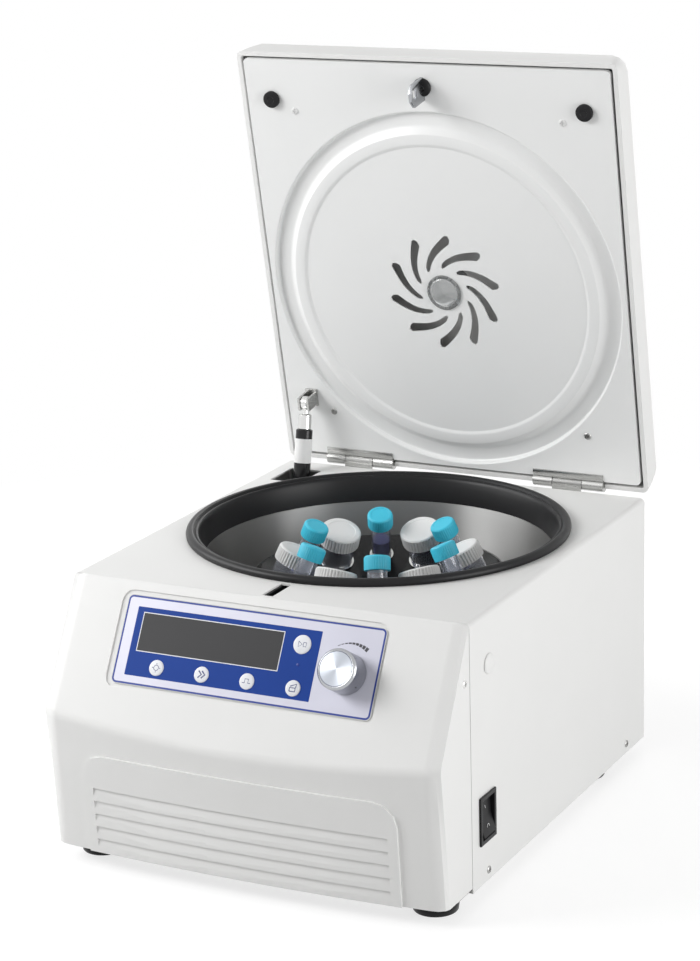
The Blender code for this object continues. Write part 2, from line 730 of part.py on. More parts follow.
def rear_panel():
    """Flat rear wall with the inlet cut-out and the air outlet."""
    half = CASE_HALF - CASE_SHEET - GAP
    top = CASE_TOP_UNDERSIDE - GAP
    corner = [(half - CASE_BEND + CASE_BEND * math.cos(math.radians(90 * n / BEND_STEPS)),
               top - CASE_BEND + CASE_BEND * math.sin(math.radians(90 * n / BEND_STEPS)))
              for n in range(BEND_STEPS + 1)]
    right = [(half, GAP)] + corner
    mesh = flat_plate(right + [(-x, z) for x, z in reversed(right)], CASE_SHEET)
    mesh.transform(along_y((0, -CASE_SHEET / 2, 0)))
    piece = place("rear_panel", mesh, "paint", datum)
    body_x = INLET_BODY_WIDTH / 2 + GAP
    body_z = INLET_BODY_HEIGHT / 2 + GAP
    hole = box((INLET_X - body_x, -CASE_SHEET - OVERRUN, INLET_Z - body_z),
               (INLET_X + body_x, OVERRUN, INLET_Z + body_z))
    vents = bmesh.new()
    for n in range(VENT_COUNT):
        x = VENT_X + (n - (VENT_COUNT - 1) / 2) * VENT_PITCH
        add_box(vents, (x - VENT_SLOT_WIDTH / 2, -CASE_SHEET - OVERRUN, VENT_Z - VENT_SLOT_HEIGHT / 2),
                (x + VENT_SLOT_WIDTH / 2, OVERRUN, VENT_Z + VENT_SLOT_HEIGHT / 2))
    cut(piece, tool("cut_inlet", hole, datum), tool("cut_vents", mesh_of(vents), datum))


def chamber():
    """Armour ring on the base, bowl on the ring, gasket between bowl and top sheet."""
    centre = empty("chamber_axis", datum, (0, CHAMBER_Y, 0))
    ring_top = BOWL_TOP_Z - BOWL_SHEET - GAP
    ring = [(RING_RADIUS, ring_top), (RING_RADIUS, BASE_SHEET + GAP),
            (RING_RADIUS - RING_WALL, BASE_SHEET + GAP), (RING_RADIUS - RING_WALL, ring_top)]
    place("armour_ring", turned(ring, 28), "steel", centre)
    bowl = [(BOWL_RADIUS + BOWL_FLANGE, BOWL_TOP_Z), (BOWL_RADIUS, BOWL_TOP_Z)]
    for n in range(BOWL_BEND_STEPS + 1):
        angle = math.radians(90 * n / BOWL_BEND_STEPS)
        bowl.append((BOWL_RADIUS - BOWL_BEND + BOWL_BEND * math.cos(angle),
                     BOWL_FLOOR_Z + BOWL_BEND - BOWL_BEND * math.sin(angle)))
    bowl.append((BOWL_HOLE_RADIUS, BOWL_FLOOR_Z))
    place("chamber_bowl", turned(bowl, 32, closed=False, wall=BOWL_SHEET), "steel", centre)
    top = CASE_HEIGHT
    bead = GASKET_RADIUS - GASKET_NECK_RADIUS
    rise = GASKET_HEIGHT
    foot = BOWL_TOP_Z + GAP
    profile = [(GASKET_NECK_RADIUS + bead * GASKET_UNDER_SHARE, top + GAP),
               (GASKET_NECK_RADIUS, top + GAP), (GASKET_NECK_RADIUS, top - CASE_SHEET - 2 * GAP),
               (BOWL_RADIUS + GASKET_LIP, foot), (BOWL_RADIUS + GAP, foot)]
    profile += [(GASKET_NECK_RADIUS + bead * across, top + rise * up) for across, up in GASKET_CROWN_SHARES]
    place("chamber_gasket", turned(profile, DISH_STEPS), "rubber", centre)
    return centre


def motor(centre):
    """Flanged motor on one rubber ring."""
    mount_low = BASE_SHEET + GAP
    mount_high = mount_low + MOUNT_HEIGHT
    middle = (mount_low + mount_high) / 2
    profile = [(MOUNT_OUTER_RADIUS, mount_high), (MOUNT_OUTER_RADIUS - MOUNT_WAIST, middle),
               (MOUNT_OUTER_RADIUS, mount_low), (MOUNT_INNER_RADIUS, mount_low),
               (MOUNT_INNER_RADIUS, mount_high)]
    place("motor_mount", turned(profile, 20), "rubber", centre)
    low = mount_high + GAP
    flange_high = low + MOTOR_FLANGE_SHEET
    bore = SHAFT_RADIUS + GAP
    body = [(0, MOTOR_BOSS_Z - MOTOR_BORE_DEPTH), (bore, MOTOR_BOSS_Z - MOTOR_BORE_DEPTH),
            (bore, MOTOR_BOSS_Z), (MOTOR_BOSS_RADIUS, MOTOR_BOSS_Z),
            (MOTOR_BOSS_RADIUS, MOTOR_TOP_Z), (MOTOR_RADIUS - MOTOR_EDGE, MOTOR_TOP_Z),
            (MOTOR_RADIUS, MOTOR_TOP_Z - MOTOR_EDGE), (MOTOR_RADIUS, flange_high),
            (MOTOR_FLANGE_RADIUS, flange_high), (MOTOR_FLANGE_RADIUS, low), (0, low)]
    place("motor_body", turned(body, 20, closed=False), "black", centre)


def place_matrix(index, radius, height, half_step):
    """Frame of a tube place: origin at the cap's centre, Z along the tube to its cap."""
    turn = math.radians(360 * (index + half_step) / PLACES)
    return (Matrix.Rotation(turn, 4, "Z") @ Matrix.Translation((radius, 0, height))
            @ Matrix.Rotation(-TUBE_TILT, 4, "Y"))


def tube_set(label, cap_radius, cap_height, body_radius, length, frames, finish, steps, spin):
    """Capped conical tubes standing in their places, and the bores that take them."""
    top = cap_height / 2
    tip = top - length
    cone = tip + length * TUBE_CONE_SHARE
    profile = [(0, top), (cap_radius - CAP_EDGE, top), (cap_radius, top - CAP_EDGE),
               (cap_radius - CAP_SKIRT, -top), (body_radius, -top), (body_radius, cone),
               (body_radius * TUBE_TIP_SHARE, tip), (0, tip)]
    mesh = turned(profile, steps, closed=False)
    bores = bmesh.new()
    bottom = tip - GAP
    for n, frame in enumerate(frames):
        piece = place(f"tube_{label}_{n + 1}", mesh.copy(), finish, spin)
        piece.matrix_local = frame
        add_cylinder(bores, body_radius + BORE_PLAY, top - bottom,
                     frame @ Matrix.Translation((0, 0, (top + bottom) / 2)), steps)
    return tool(f"cut_bores_{label}", mesh_of(bores), spin)


def rotor(centre):
    """Shaft, fixed-angle rotor, its nut, and the tubes."""
    spin = empty("rotor_spin", centre, (0, 0, 0), (0, 0, ROTOR_ANGLE))
    flange_top = ROTOR_BASE_Z - GAP
    flange_low = flange_top - SHAFT_FLANGE_HEIGHT
    shaft_top = ROTOR_HUB_Z + NUT_HEIGHT * THREAD_SHARE
    shaft = [(0, shaft_top), (THREAD_RADIUS, shaft_top), (THREAD_RADIUS, ROTOR_HUB_Z),
             (SHAFT_RADIUS, ROTOR_HUB_Z - GAP), (SHAFT_RADIUS, flange_top),
             (SHAFT_FLANGE_RADIUS, flange_top), (SHAFT_FLANGE_RADIUS, flange_low),
             (SHAFT_RADIUS, flange_low), (SHAFT_RADIUS, MOTOR_BOSS_Z - MOTOR_BORE_DEPTH + GAP),
             (0, MOTOR_BOSS_Z - MOTOR_BORE_DEPTH + GAP)]
    place("drive_shaft", turned(shaft, 12, closed=False), "steel", spin)
    dish = math.tan(TUBE_TILT)
    rim_r = ROTOR_RIM_RADIUS - ROTOR_RIM_LAND
    rim_z = ROTOR_RIM_Z - ROTOR_RIM_EDGE
    well_z = rim_z - (rim_r - ROTOR_HUB_RADIUS) * dish
    skirt_low = ROTOR_SKIRT_Z - ROTOR_SKIRT_HEIGHT
    heel = skirt_low - ROTOR_BASE_Z
    bore = SHAFT_RADIUS + GAP
    body = [(ROTOR_RIM_RADIUS - ROTOR_RIM_EDGE, ROTOR_RIM_Z),
            (ROTOR_RIM_RADIUS, ROTOR_RIM_Z - ROTOR_RIM_EDGE),
            (ROTOR_SKIRT_RADIUS, ROTOR_SKIRT_Z), (ROTOR_SKIRT_RADIUS, skirt_low),
            (ROTOR_SKIRT_RADIUS - heel, ROTOR_BASE_Z), (bore, ROTOR_BASE_Z),
            (bore, ROTOR_HUB_Z), (ROTOR_HUB_RADIUS - ROTOR_RIM_EDGE, ROTOR_HUB_Z),
            (ROTOR_HUB_RADIUS, well_z), (rim_r, rim_z), (rim_r + ROTOR_RIM_EDGE, ROTOR_RIM_Z)]
    piece = place("rotor_body", turned(body, 32), "black", spin)
    frames = [place_matrix(n, CENTRE50_R, CENTRE50_Z, 0.5) for n in range(PLACES)]
    big = tube_set("50ml", CAP50_RADIUS, CAP50_HEIGHT, BODY50_RADIUS, LENGTH50, frames, "white", 12, spin)
    frames = [place_matrix(n, CENTRE15_R, CENTRE15_Z, 0) for n in range(PLACES)]
    small = tube_set("15ml", CAP15_RADIUS, CAP15_HEIGHT, BODY15_RADIUS, LENGTH15, frames,
                     "turquoise", 10, spin)
    cut(piece, big, small)
    nut_low = ROTOR_HUB_Z + GAP
    nut = [(NUT_RADIUS - NUT_EDGE, nut_low + NUT_HEIGHT), (NUT_RADIUS, nut_low + NUT_HEIGHT - NUT_EDGE),
           (NUT_RADIUS, nut_low), (THREAD_RADIUS + GAP, nut_low),
           (THREAD_RADIUS + GAP, nut_low + NUT_HEIGHT)]
    place("rotor_nut", turned(nut, 14), "aluminium", spin)


def lid_section(inset, height, corner):
    """Outline of the lid at one height, in the closed lid's frame."""
    low = (-LID_HALF_WIDTH + inset, -LID_FRONT + inset)
    high = (LID_HALF_WIDTH - inset, LID_BACK - inset)
    return [(x, y, height) for x, y in rounded(low, high, corner)]


def hinge_span(side):
    """Low and high X of one hinge."""
    return sorted((side * HINGE_INNER_X, side * (HINGE_INNER_X + HINGE_LENGTH)))


def lid(hinge):
    """Moulded lid, open below, with screw bosses and notches for the hinges."""
    sections = [lid_section(inset, LID_HEIGHT * share, corner)
                for inset, share, corner in zip(LID_INSETS, LID_HEIGHT_SHARES, LID_CORNERS)]
    shell = mesh_of(loft(sections, close_last=True))
    piece = place("lid_shell", shell, "moulding", hinge)
    wall = piece.modifiers.new("wall", "SOLIDIFY")
    wall.thickness = LID_WALL
    wall.offset = -1
    wall.use_even_offset = True
    bosses = bmesh.new()
    boss_low = LINER_SHEET - LINER_PROUD + GAP
    boss_high = LID_HEIGHT - LID_WALL + OVERLAP
    for x, v in LID_BOSS_PLACES:
        for side in (-1, 1):
            add_cylinder(bosses, LID_BOSS_RADIUS, boss_high - boss_low,
                         Matrix.Translation((side * x, -v, (boss_low + boss_high) / 2)), 10)
    join(piece, tool("lid_bosses", mesh_of(bosses), hinge))
    eye = cylinder(WINDOW_BODY_RADIUS + GAP, LID_HEIGHT + 2 * OVERRUN,
                   Matrix.Translation((0, -DISH_V, LID_HEIGHT / 2)), 20)
    eye_tool = tool("cut_window", eye, hinge)
    notches = bmesh.new()
    for side in (-1, 1):
        xs = hinge_span(side)
        add_box(notches, (xs[0] - GAP, -LID_LEAF_REACH - GAP, -LINER_PROUD - OVERRUN),
                (xs[1] + GAP, LID_BACK + OVERRUN, KNUCKLE_RADIUS + GAP))
    notch_tool = tool("cut_hinge_notches", mesh_of(notches), hinge)
    leaf_room = bmesh.new()
    for side in (-1, 1):
        xs = hinge_span(side)
        add_box(leaf_room, (xs[0] - GAP, -KNUCKLE_RADIUS - 2 * GAP, -LINER_PROUD - OVERRUN),
                (xs[1] + GAP, LID_BACK + OVERRUN, LINER_FLANGE + OVERRUN))
    cut(piece, eye_tool, notch_tool)
    liner(hinge, eye_tool, tool("cut_liner_notches", mesh_of(leaf_room), hinge))


def on_border(angle):
    """The point of the liner's edge in the direction of an angle from the dish's centre."""
    reach_x = LINER_HALF_WIDTH
    reach_up = LINER_FRONT - DISH_V
    reach_down = DISH_V - LINER_BACK
    c = math.cos(angle)
    s = math.sin(angle)
    options = []
    if abs(c) > MERGE_DISTANCE:
        options.append(reach_x / abs(c))
    if abs(s) > MERGE_DISTANCE:
        options.append((reach_down if s > 0 else reach_up) / abs(s))
    reach = min(options)
    return (reach * c, reach * s - DISH_V)


def dish_angles():
    """Directions of the liner's spokes: even steps, with one in each corner."""
    corners = [math.atan2(y, x) % (2 * math.pi)
               for x in (-LINER_HALF_WIDTH, LINER_HALF_WIDTH)
               for y in (DISH_V - LINER_BACK, DISH_V - LINER_FRONT)]
    angles = [2 * math.pi * n / DISH_STEPS for n in range(DISH_STEPS)]
    for corner in corners:
        nearest = min(range(DISH_STEPS), key=lambda n: abs(angles[n] - corner))
        angles[nearest] = corner
    return angles


def swirl_slot(index):
    """One curved vent, wide outside and narrow inside, as an outline."""
    start = SWIRL_START + 2 * math.pi * index / SWIRL_COUNT
    left = []
    right = []
    for n in range(SWIRL_STEPS + 1):
        share = n / SWIRL_STEPS
        radius = SWIRL_OUTER - (SWIRL_OUTER - SWIRL_INNER) * share
        angle = start + SWIRL_TURN * share ** SWIRL_POWER
        fullness = SWIRL_END_SHARE if n in (0, SWIRL_STEPS) else SWIRL_BELLY_SHARE
        half = (SWIRL_WIDE + (SWIRL_NARROW - SWIRL_WIDE) * share) * fullness / 2
        direction = angle + SWIRL_SLANT
        point = Vector((radius * math.cos(angle), radius * math.sin(angle)))
        normal = Vector((-math.sin(direction), math.cos(direction))) * half
        left.append(point + normal)
        right.append(point - normal)
    return [tuple(p) for p in left] + [tuple(p) for p in reversed(right)]


def liner(hinge, eye_tool, notch_tool):
    """Pressed inner panel: a deep ring groove, a flat disc, swirl vents and a turned edge."""
    floor = -LINER_PROUD
    deep = DISH_DEPTH
    groove = DISH_RADIUS - CREST_RADIUS
    rings = [(DISC_RADIUS, floor + DISC_DEPTH),
             (DISC_RADIUS + DISC_DEPTH, floor),
             (CREST_RADIUS, floor),
             *[(CREST_RADIUS + groove * across, floor + deep * up) for across, up in GROOVE_SHARES],
             (DISH_RADIUS, floor)]
    angles = dish_angles()
    loops = [[(r * math.cos(a), r * math.sin(a) - DISH_V, z) for a in angles] for r, z in rings]
    border = [on_border(a) for a in angles]
    loops.append([(x, y, floor) for x, y in border])
    loops.append([(x, y, floor + LINER_FLANGE) for x, y in border])
    shape = loft(loops, close_first=True)
    piece = place("lid_liner", mesh_of(shape), "liner", hinge)
    sheet = piece.modifiers.new("sheet", "SOLIDIFY")
    sheet.thickness = LINER_SHEET
    sheet.offset = -1
    vents = bmesh.new()
    for n in range(SWIRL_COUNT):
        slot = flat_plate(swirl_slot(n), 4 * LINER_SHEET)
        slot.transform(Matrix.Translation((0, -DISH_V, floor + DISC_DEPTH)))
        vents.from_mesh(slot)
    cut(piece, tool("cut_swirl", mesh_of(vents), hinge), eye_tool, notch_tool)


def lid_fittings(hinge):
    """Window, bumpers and striker."""
    floor = -LINER_PROUD
    disc = floor + DISC_DEPTH
    top = LID_HEIGHT
    dome = [(WINDOW_RADIUS * math.sin(math.radians(a)),
             disc - GAP - WINDOW_DOME * math.cos(math.radians(a))) for a in WINDOW_DOME_ANGLES]
    window = [(0, top), (WINDOW_BODY_RADIUS, top), (WINDOW_BODY_RADIUS, disc - GAP)] + dome
    place("lid_window", turned(window, 20, closed=False), "clear", hinge, (0, -DISH_V, 0))
    bumper_low = CASE_HEIGHT + GAP - HINGE_Z
    bumper = [(0, floor - GAP), (BUMPER_RADIUS, floor - GAP), (BUMPER_RADIUS, bumper_low + BUMPER_EDGE),
              (BUMPER_RADIUS - BUMPER_EDGE, bumper_low), (0, bumper_low)]
    mesh = turned(bumper, 14, closed=False)
    for label, side in (("left", -1), ("right", 1)):
        place(f"lid_bumper_{label}", mesh.copy(), "rubber", hinge, (side * BUMPER_X, -BUMPER_V, 0))
    striker(hinge, floor)


def striker(hinge, floor):
    """Plate loop that the lock's bolt enters, on a boss with a rubber grommet."""
    half = STRIKER_WIDTH / 2
    low = -STRIKER_LENGTH
    hole_at = floor + (low - floor) * STRIKER_HOLE_SHARE
    outline = rounded((low, -half), (floor - GAP, half), half * STRIKER_CORNER_SHARE, 3)
    mesh = flat_plate(outline, STRIKER_SHEET)
    turn = Matrix(((0, 0, 1, 0), (0, 1, 0, 0), (1, 0, 0, 0), (0, 0, 0, 1)))
    mesh.transform(Matrix.Translation((0, -STRIKER_V, 0)) @ turn)
    mesh.flip_normals()
    piece = place("latch_striker", mesh, "chrome", hinge)
    foot = box((-half, -STRIKER_V - half, floor - GAP - STRIKER_SHEET),
               (half, -STRIKER_V + half, floor - GAP))
    join(piece, tool("striker_foot", foot, hinge))
    hole = cylinder(STRIKER_HOLE_RADIUS, 2 * STRIKER_SHEET, along_x((0, -STRIKER_V, hole_at)), 12)
    cut(piece, tool("cut_striker_hole", hole, hinge))


def hinges(hinge):
    """Two butt hinges: the lid's leaf has the outer knuckles and the pin, the case's the middle one."""
    leaf_low = LINER_SHEET - LINER_PROUD + GAP
    room = KNUCKLE_RADIUS + 2 * GAP
    for side, label in ((-1, "left"), (1, "right")):
        xs = hinge_span(side)
        length = xs[1] - xs[0]
        cuts = [xs[0] + share * length for share in KNUCKLE_SHARES]
        leaf = box((xs[0], -LID_LEAF_REACH, leaf_low), (xs[1], 0, leaf_low + LEAF_SHEET))
        piece = place(f"lid_leaf_{label}", leaf, "zinc", hinge)
        middle_room = box((cuts[1] - GAP, -room, -2 * room), (cuts[2] + GAP, 2 * room, 2 * room))
        cut(piece, tool("cut_middle_knuckle", middle_room, hinge))
        for a, b in ((cuts[0], cuts[1] - GAP), (cuts[2] + GAP, cuts[3])):
            barrel = cylinder(KNUCKLE_RADIUS, b - a, along_x(((a + b) / 2, 0, 0)), 12)
            join(piece, tool("lid_knuckle", barrel, hinge))
        middle = ((xs[0] + xs[1]) / 2, 0, 0)
        join(piece, tool("hinge_pin", cylinder(PIN_RADIUS, length - OVERLAP, along_x(middle), 8), hinge))
        case_leaf(label, xs, cuts)


def case_leaf(label, xs, cuts):
    """Leaf on the rear panel, cut away for the lid's knuckles."""
    room = KNUCKLE_RADIUS + 2 * GAP
    leaf = box((xs[0], GAP, HINGE_Z - CASE_LEAF_DROP),
               (xs[1], GAP + LEAF_SHEET, HINGE_Z - KNUCKLE_RADIUS * CASE_LEAF_TOP_SHARE))
    piece = place(f"case_leaf_{label}", leaf, "zinc", datum)
    for a, b in ((xs[0] - OVERRUN, cuts[1] + GAP), (cuts[2] - GAP, xs[1] + OVERRUN)):
        gap = box((a, -room, HINGE_Z - room), (b, HINGE_Y + room, HINGE_Z + room))
        cut(piece, tool("cut_outer_knuckle", gap, datum))
    a = cuts[1] + GAP
    b = cuts[2] - GAP
    middle = ((a + b) / 2, HINGE_Y, HINGE_Z)
    join(piece, tool("case_knuckle", cylinder(KNUCKLE_RADIUS, b - a, along_x(middle), 12), datum))
    cut(piece, tool("cut_case_pin", cylinder(PIN_RADIUS + GAP, CASE_WIDTH, along_x(middle), 8), datum))


def strut_frame():
    """Pivot of the strut in the closed lid's frame, and the open strut's pull towards its foot."""
    pivot = Vector((STRUT_X, -STRUT_V, -STRUT_PROUD))
    turn = Matrix.Rotation(-LID_OPEN, 3, "X")
    world = Vector((0, HINGE_Y, HINGE_Z)) + turn @ pivot
    foot = Vector((STRUT_X, STRUT_FOOT_Y, STRUT_FOOT_Z))
    return pivot, world, foot


def gas_strut(hinge):
    """Bracket on the lid, cylinder and rod."""
    pivot, world, foot = strut_frame()
    floor = -LINER_PROUD - GAP
    cheek_low = STRUT_EYE_WIDTH / 2 + GAP
    cheek_high = cheek_low + CLEVIS_CHEEK
    half = STRUT_EYE_RADIUS + CLEVIS_CHEEK
    base = box((STRUT_X - cheek_high, -STRUT_V - half, floor - CLEVIS_CHEEK),
               (STRUT_X + cheek_high, -STRUT_V + half, floor))
    bracket = place("strut_bracket", base, "zinc", hinge)
    drop = -STRUT_PROUD - STRUT_EYE_RADIUS
    for side in (-1, 1):
        xs = sorted((STRUT_X + side * cheek_low, STRUT_X + side * cheek_high))
        cheek = box((xs[0], -STRUT_V - STRUT_EYE_RADIUS, drop),
                    (xs[1], -STRUT_V + STRUT_EYE_RADIUS, floor - OVERLAP))
        join(bracket, tool("cheek", cheek, hinge))
    pin = cylinder(CLEVIS_PIN_RADIUS, 2 * cheek_high - 2 * OVERLAP, along_x(pivot), 12)
    join(bracket, tool("clevis_pin", pin, hinge))
    pull = world - foot
    lean = math.atan2(pull.y, pull.z)
    holder = empty("strut_pivot", datum, world, (-lean, 0, 0))
    neck_low = -STRUT_NECK_LENGTH
    tube_low = neck_low - STRUT_TUBE_LENGTH
    rod_room = STRUT_ROD_RADIUS + GAP
    inner = STRUT_TUBE_RADIUS - STRUT_WALL
    stem = STRUT_EYE_WIDTH / 2 - GAP
    barrel = [(0, neck_low - STRUT_WALL), (inner, neck_low - STRUT_WALL),
              (inner, tube_low + STRUT_WALL), (rod_room, tube_low + STRUT_WALL),
              (rod_room, tube_low), (STRUT_TUBE_RADIUS, tube_low), (STRUT_TUBE_RADIUS, neck_low),
              (STRUT_NECK_RADIUS, neck_low), (STRUT_NECK_RADIUS, -STRUT_STEM_LENGTH), (stem, -STRUT_STEM_LENGTH),
              (stem, -STRUT_EYE_RADIUS * STRUT_EYE_SHARE), (0, -STRUT_EYE_RADIUS * STRUT_EYE_SHARE)]
    barrel.reverse()
    piece = place("strut_cylinder", turned(barrel, 12, closed=False), "black", holder)
    eye = cylinder(STRUT_EYE_RADIUS, STRUT_EYE_WIDTH, along_x((0, 0, 0)), 12)
    join(piece, tool("upper_eye", eye, holder))
    cut(piece, tool("cut_eye", cylinder(CLEVIS_PIN_RADIUS + GAP, 2 * STRUT_EYE_WIDTH,
                                        along_x((0, 0, 0)), 8), holder))
    reach = pull.length
    rod_top = tube_low + STRUT_ROD_ENTRY
    eye_z = -reach
    rod = [(0, rod_top), (inner - GAP, rod_top), (inner - GAP, rod_top - STRUT_WALL),
           (STRUT_ROD_RADIUS, rod_top - STRUT_WALL), (STRUT_ROD_RADIUS, eye_z + OVERLAP), (0, eye_z + OVERLAP)]
    piece = place("strut_rod", turned(rod, 10, closed=False), "steel", holder)
    eye = cylinder(STRUT_EYE_RADIUS, STRUT_EYE_WIDTH, along_x((0, 0, eye_z)), 12)
    join(piece, tool("lower_eye", eye, holder))


def lid_lock():
    """Lock body under the slot, with a bolt that crosses the striker's hole."""
    floor = HINGE_Z + striker_hole()
    top = CASE_TOP_UNDERSIDE - GAP
    low = top - LOCK_HEIGHT
    half_y = SLOT_LENGTH / 2 + CASE_SHEET
    body = box((-LOCK_WIDTH / 2, SLOT_Y - half_y, low), (LOCK_WIDTH / 2, SLOT_Y + half_y, top))
    piece = place("lock_body", body, "black", datum)
    channel_low = HINGE_Z - STRIKER_LENGTH - 4 * STRIKER_SHEET
    channel = box((-SLOT_WIDTH / 2, SLOT_Y - SLOT_LENGTH / 2, channel_low),
                  (SLOT_WIDTH / 2, SLOT_Y + SLOT_LENGTH / 2, top + OVERRUN))
    bolt_y = HINGE_Y - STRIKER_V
    start = -LOCK_WIDTH / 2 - OVERRUN
    end = BOLT_TRAVEL - BOLT_RETREAT + 2 * BOLT_RADIUS
    way = cylinder(BOLT_RADIUS + GAP, end - start, along_x(((start + end) / 2, bolt_y, floor)), 12)
    coil = cylinder(LOCK_COIL_RADIUS, LOCK_COIL_LENGTH + OVERLAP,
                    along_x((-(LOCK_WIDTH + LOCK_COIL_LENGTH - OVERLAP) / 2, bolt_y, floor)), 12)
    join(piece, tool("lock_coil", coil, datum))
    cut(piece, tool("cut_striker_channel", channel, datum), tool("cut_bolt_way", way, datum))
    bolt_low = -LOCK_WIDTH / 2 - GAP
    bolt = cylinder(BOLT_RADIUS, -BOLT_RETREAT - bolt_low, along_x(((bolt_low - BOLT_RETREAT) / 2, 0, 0)), 12)
    place("lock_bolt", bolt, "steel", datum, (0, bolt_y, floor))


def striker_hole():
    """Height of the striker's hole in the closed lid's frame."""
    floor = -LINER_PROUD
    return floor + (-STRIKER_LENGTH - floor) * STRIKER_HOLE_SHARE


def face_y(z):
    """Y of the raked control face at a height."""
    return FACE_TOP_Y - (FACE_TOP_Z - z) * math.tan(FACE_RAKE)


def lower_y(x, z):
    """Y of the bowed lower face: it leans back to the toe and bulges at the middle."""
    share = min(abs(x) / FACE_HALF_WIDTH, 1)
    lean = COVER_TOE_BACK * (1 - z / CREASE_SIDE_Z)
    return CREASE_SIDE_Y + lean - COVER_BOW * (1 - share ** 2)


def crease_z(x):
    """Height at which the two faces would meet."""
    low = 0
    high = FACE_TOP_Z
    for _ in range(40):
        middle = (low + high) / 2
        if face_y(middle) > lower_y(x, middle):
            high = middle
        else:
            low = middle
    return (low + high) / 2


def cover_rows(x):
    """Points (y, z) of the cover's front from its top edge to its toe at one X."""
    crease = crease_z(x)
    band = CREASE_FILLET
    upper_end = crease + band * math.cos(FACE_RAKE)
    rows = [(-CASE_DEPTH - GAP, FACE_TOP_Z)]
    start = FACE_TOP_Z - COVER_TOP_LIP * COVER_LIP_SHARE
    rows += [(face_y(z), z) for z in (start, upper_end)]
    corner = Vector((face_y(crease), crease))
    first = Vector((face_y(upper_end), upper_end))
    last = Vector((lower_y(x, crease - band), crease - band))
    for t in CREASE_SHARES:
        mixed = first * (1 - t) ** 2 + corner * 2 * t * (1 - t) + last * t ** 2
        rows.append((mixed.x, mixed.y))
    for n in range(COVER_LOWER_ROWS + 1):
        z = (crease - band) * (1 - n / COVER_LOWER_ROWS)
        rows.append((lower_y(x, z), z))
    return rows


def cover_half():
    """Right half of the cover's outer skin: face columns, a corner, and the side return."""
    outer = CASE_HALF - COVER_SIDE_INSET
    columns = []
    for n in range(COVER_SPAN_COLUMNS + 1):
        x = FACE_HALF_WIDTH * n / COVER_SPAN_COLUMNS
        columns.append([(x, y, z) for y, z in cover_rows(x)])
    edge = columns[-1]
    seam = -CASE_DEPTH - GAP
    width = outer - FACE_HALF_WIDTH
    for n in range(1, COVER_CORNER_STEPS + 1):
        share = n / COVER_CORNER_STEPS
        turn = math.radians(90 * share)
        column = []
        for x, y, z in edge:
            down = max(0, min(1, (CREASE_SIDE_Z + CREASE_FILLET - z) / CREASE_SIDE_Z))
            blend = down ** CORNER_POWER
            back = CHAMFER_BACK + (LOWER_CORNER - CHAMFER_BACK) * blend
            flat = (x + width * share, y + back * share)
            arc = (x + width * math.sin(turn), y + back * (1 - math.cos(turn)))
            mix_x = flat[0] + (arc[0] - flat[0]) * blend
            mix_y = flat[1] + (arc[1] - flat[1]) * blend
            column.append((mix_x, min(mix_y, seam), z))
        columns.append(column)
    columns.append([(outer, seam, z) for x, y, z in edge])
    return columns


def front_cover(panel):
    """Moulded cover: lofted half skin, mirrored, given its wall, then recessed and louvred."""
    columns = cover_half()
    shape = bmesh.new()
    grid = [[shape.verts.new(point) for point in column] for column in columns]
    for left, right in zip(grid, grid[1:]):
        for n in range(len(left) - 1):
            shape.faces.new((left[n], left[n + 1], right[n + 1], right[n]))
    bmesh.ops.remove_doubles(shape, verts=shape.verts, dist=MERGE_DISTANCE)
    bmesh.ops.dissolve_degenerate(shape, edges=shape.edges, dist=MERGE_DISTANCE)
    piece = place("front_cover", mesh_of(shape), "moulding", datum)
    mirror = piece.modifiers.new("mirror", "MIRROR")
    mirror.use_clip = True
    mirror.merge_threshold = MERGE_DISTANCE
    wall = piece.modifiers.new("wall", "SOLIDIFY")
    wall.thickness = COVER_WALL
    wall.offset = -1
    wall.use_even_offset = True
    behind = box((-CASE_WIDTH, -CASE_DEPTH - GAP, -OVERRUN), (CASE_WIDTH, 0, CASE_HEIGHT + OVERRUN))
    cut(piece, tool("cut_seam", behind, datum))
    bosses = bmesh.new()
    boss_high = -COVER_WALL + OVERLAP
    boss_low = GAP - BOARD_DEPTH
    for x, s in cover_boss_places():
        add_cylinder(bosses, BOARD_BOSS_RADIUS, boss_high - boss_low,
                     Matrix.Translation((x, -s, (boss_high + boss_low) / 2)), 8)
    join(piece, tool("board_bosses", mesh_of(bosses), panel))
    raised_panel(piece)
    recess = rounded_block((RECESS_CENTRE_X, -RECESS_CENTRE_S), (RECESS_WIDTH, RECESS_LENGTH),
                           (-RECESS_DEPTH, OVERRUN), RECESS_CORNER, 3)
    display = box((DISPLAY_X - DISPLAY_WIDTH / 2 - GAP, -DISPLAY_S - DISPLAY_LENGTH / 2 - GAP,
                   -COVER_WALL - OVERRUN),
                  (DISPLAY_X + DISPLAY_WIDTH / 2 + GAP, -DISPLAY_S + DISPLAY_LENGTH / 2 + GAP, OVERRUN))
    holes = panel_holes(GAP)
    cut(piece, tool("cut_recess", recess, panel), tool("cut_display", display, panel),
        tool("cut_panel_holes", holes, panel))


def cover_boss_places():
    inset_x = BOARD_WIDTH / 2 - 2 * BOARD_BOSS_RADIUS
    inset_s = BOARD_LENGTH / 2 - 2 * BOARD_BOSS_RADIUS
    return [(RECESS_CENTRE_X + a * inset_x, RECESS_CENTRE_S + b * inset_s)
            for a in (-1, 1) for b in (-1, 1)]


def key_places():
    """Name, place and radius of each key on the raked face."""
    keys = [("key_start", *START_KEY_PLACE, START_KEY_RADIUS)]
    keys += [(name, x, KEY_S, KEY_RADIUS) for name, x in zip(KEY_NAMES, KEY_PLACES_X)]
    return keys


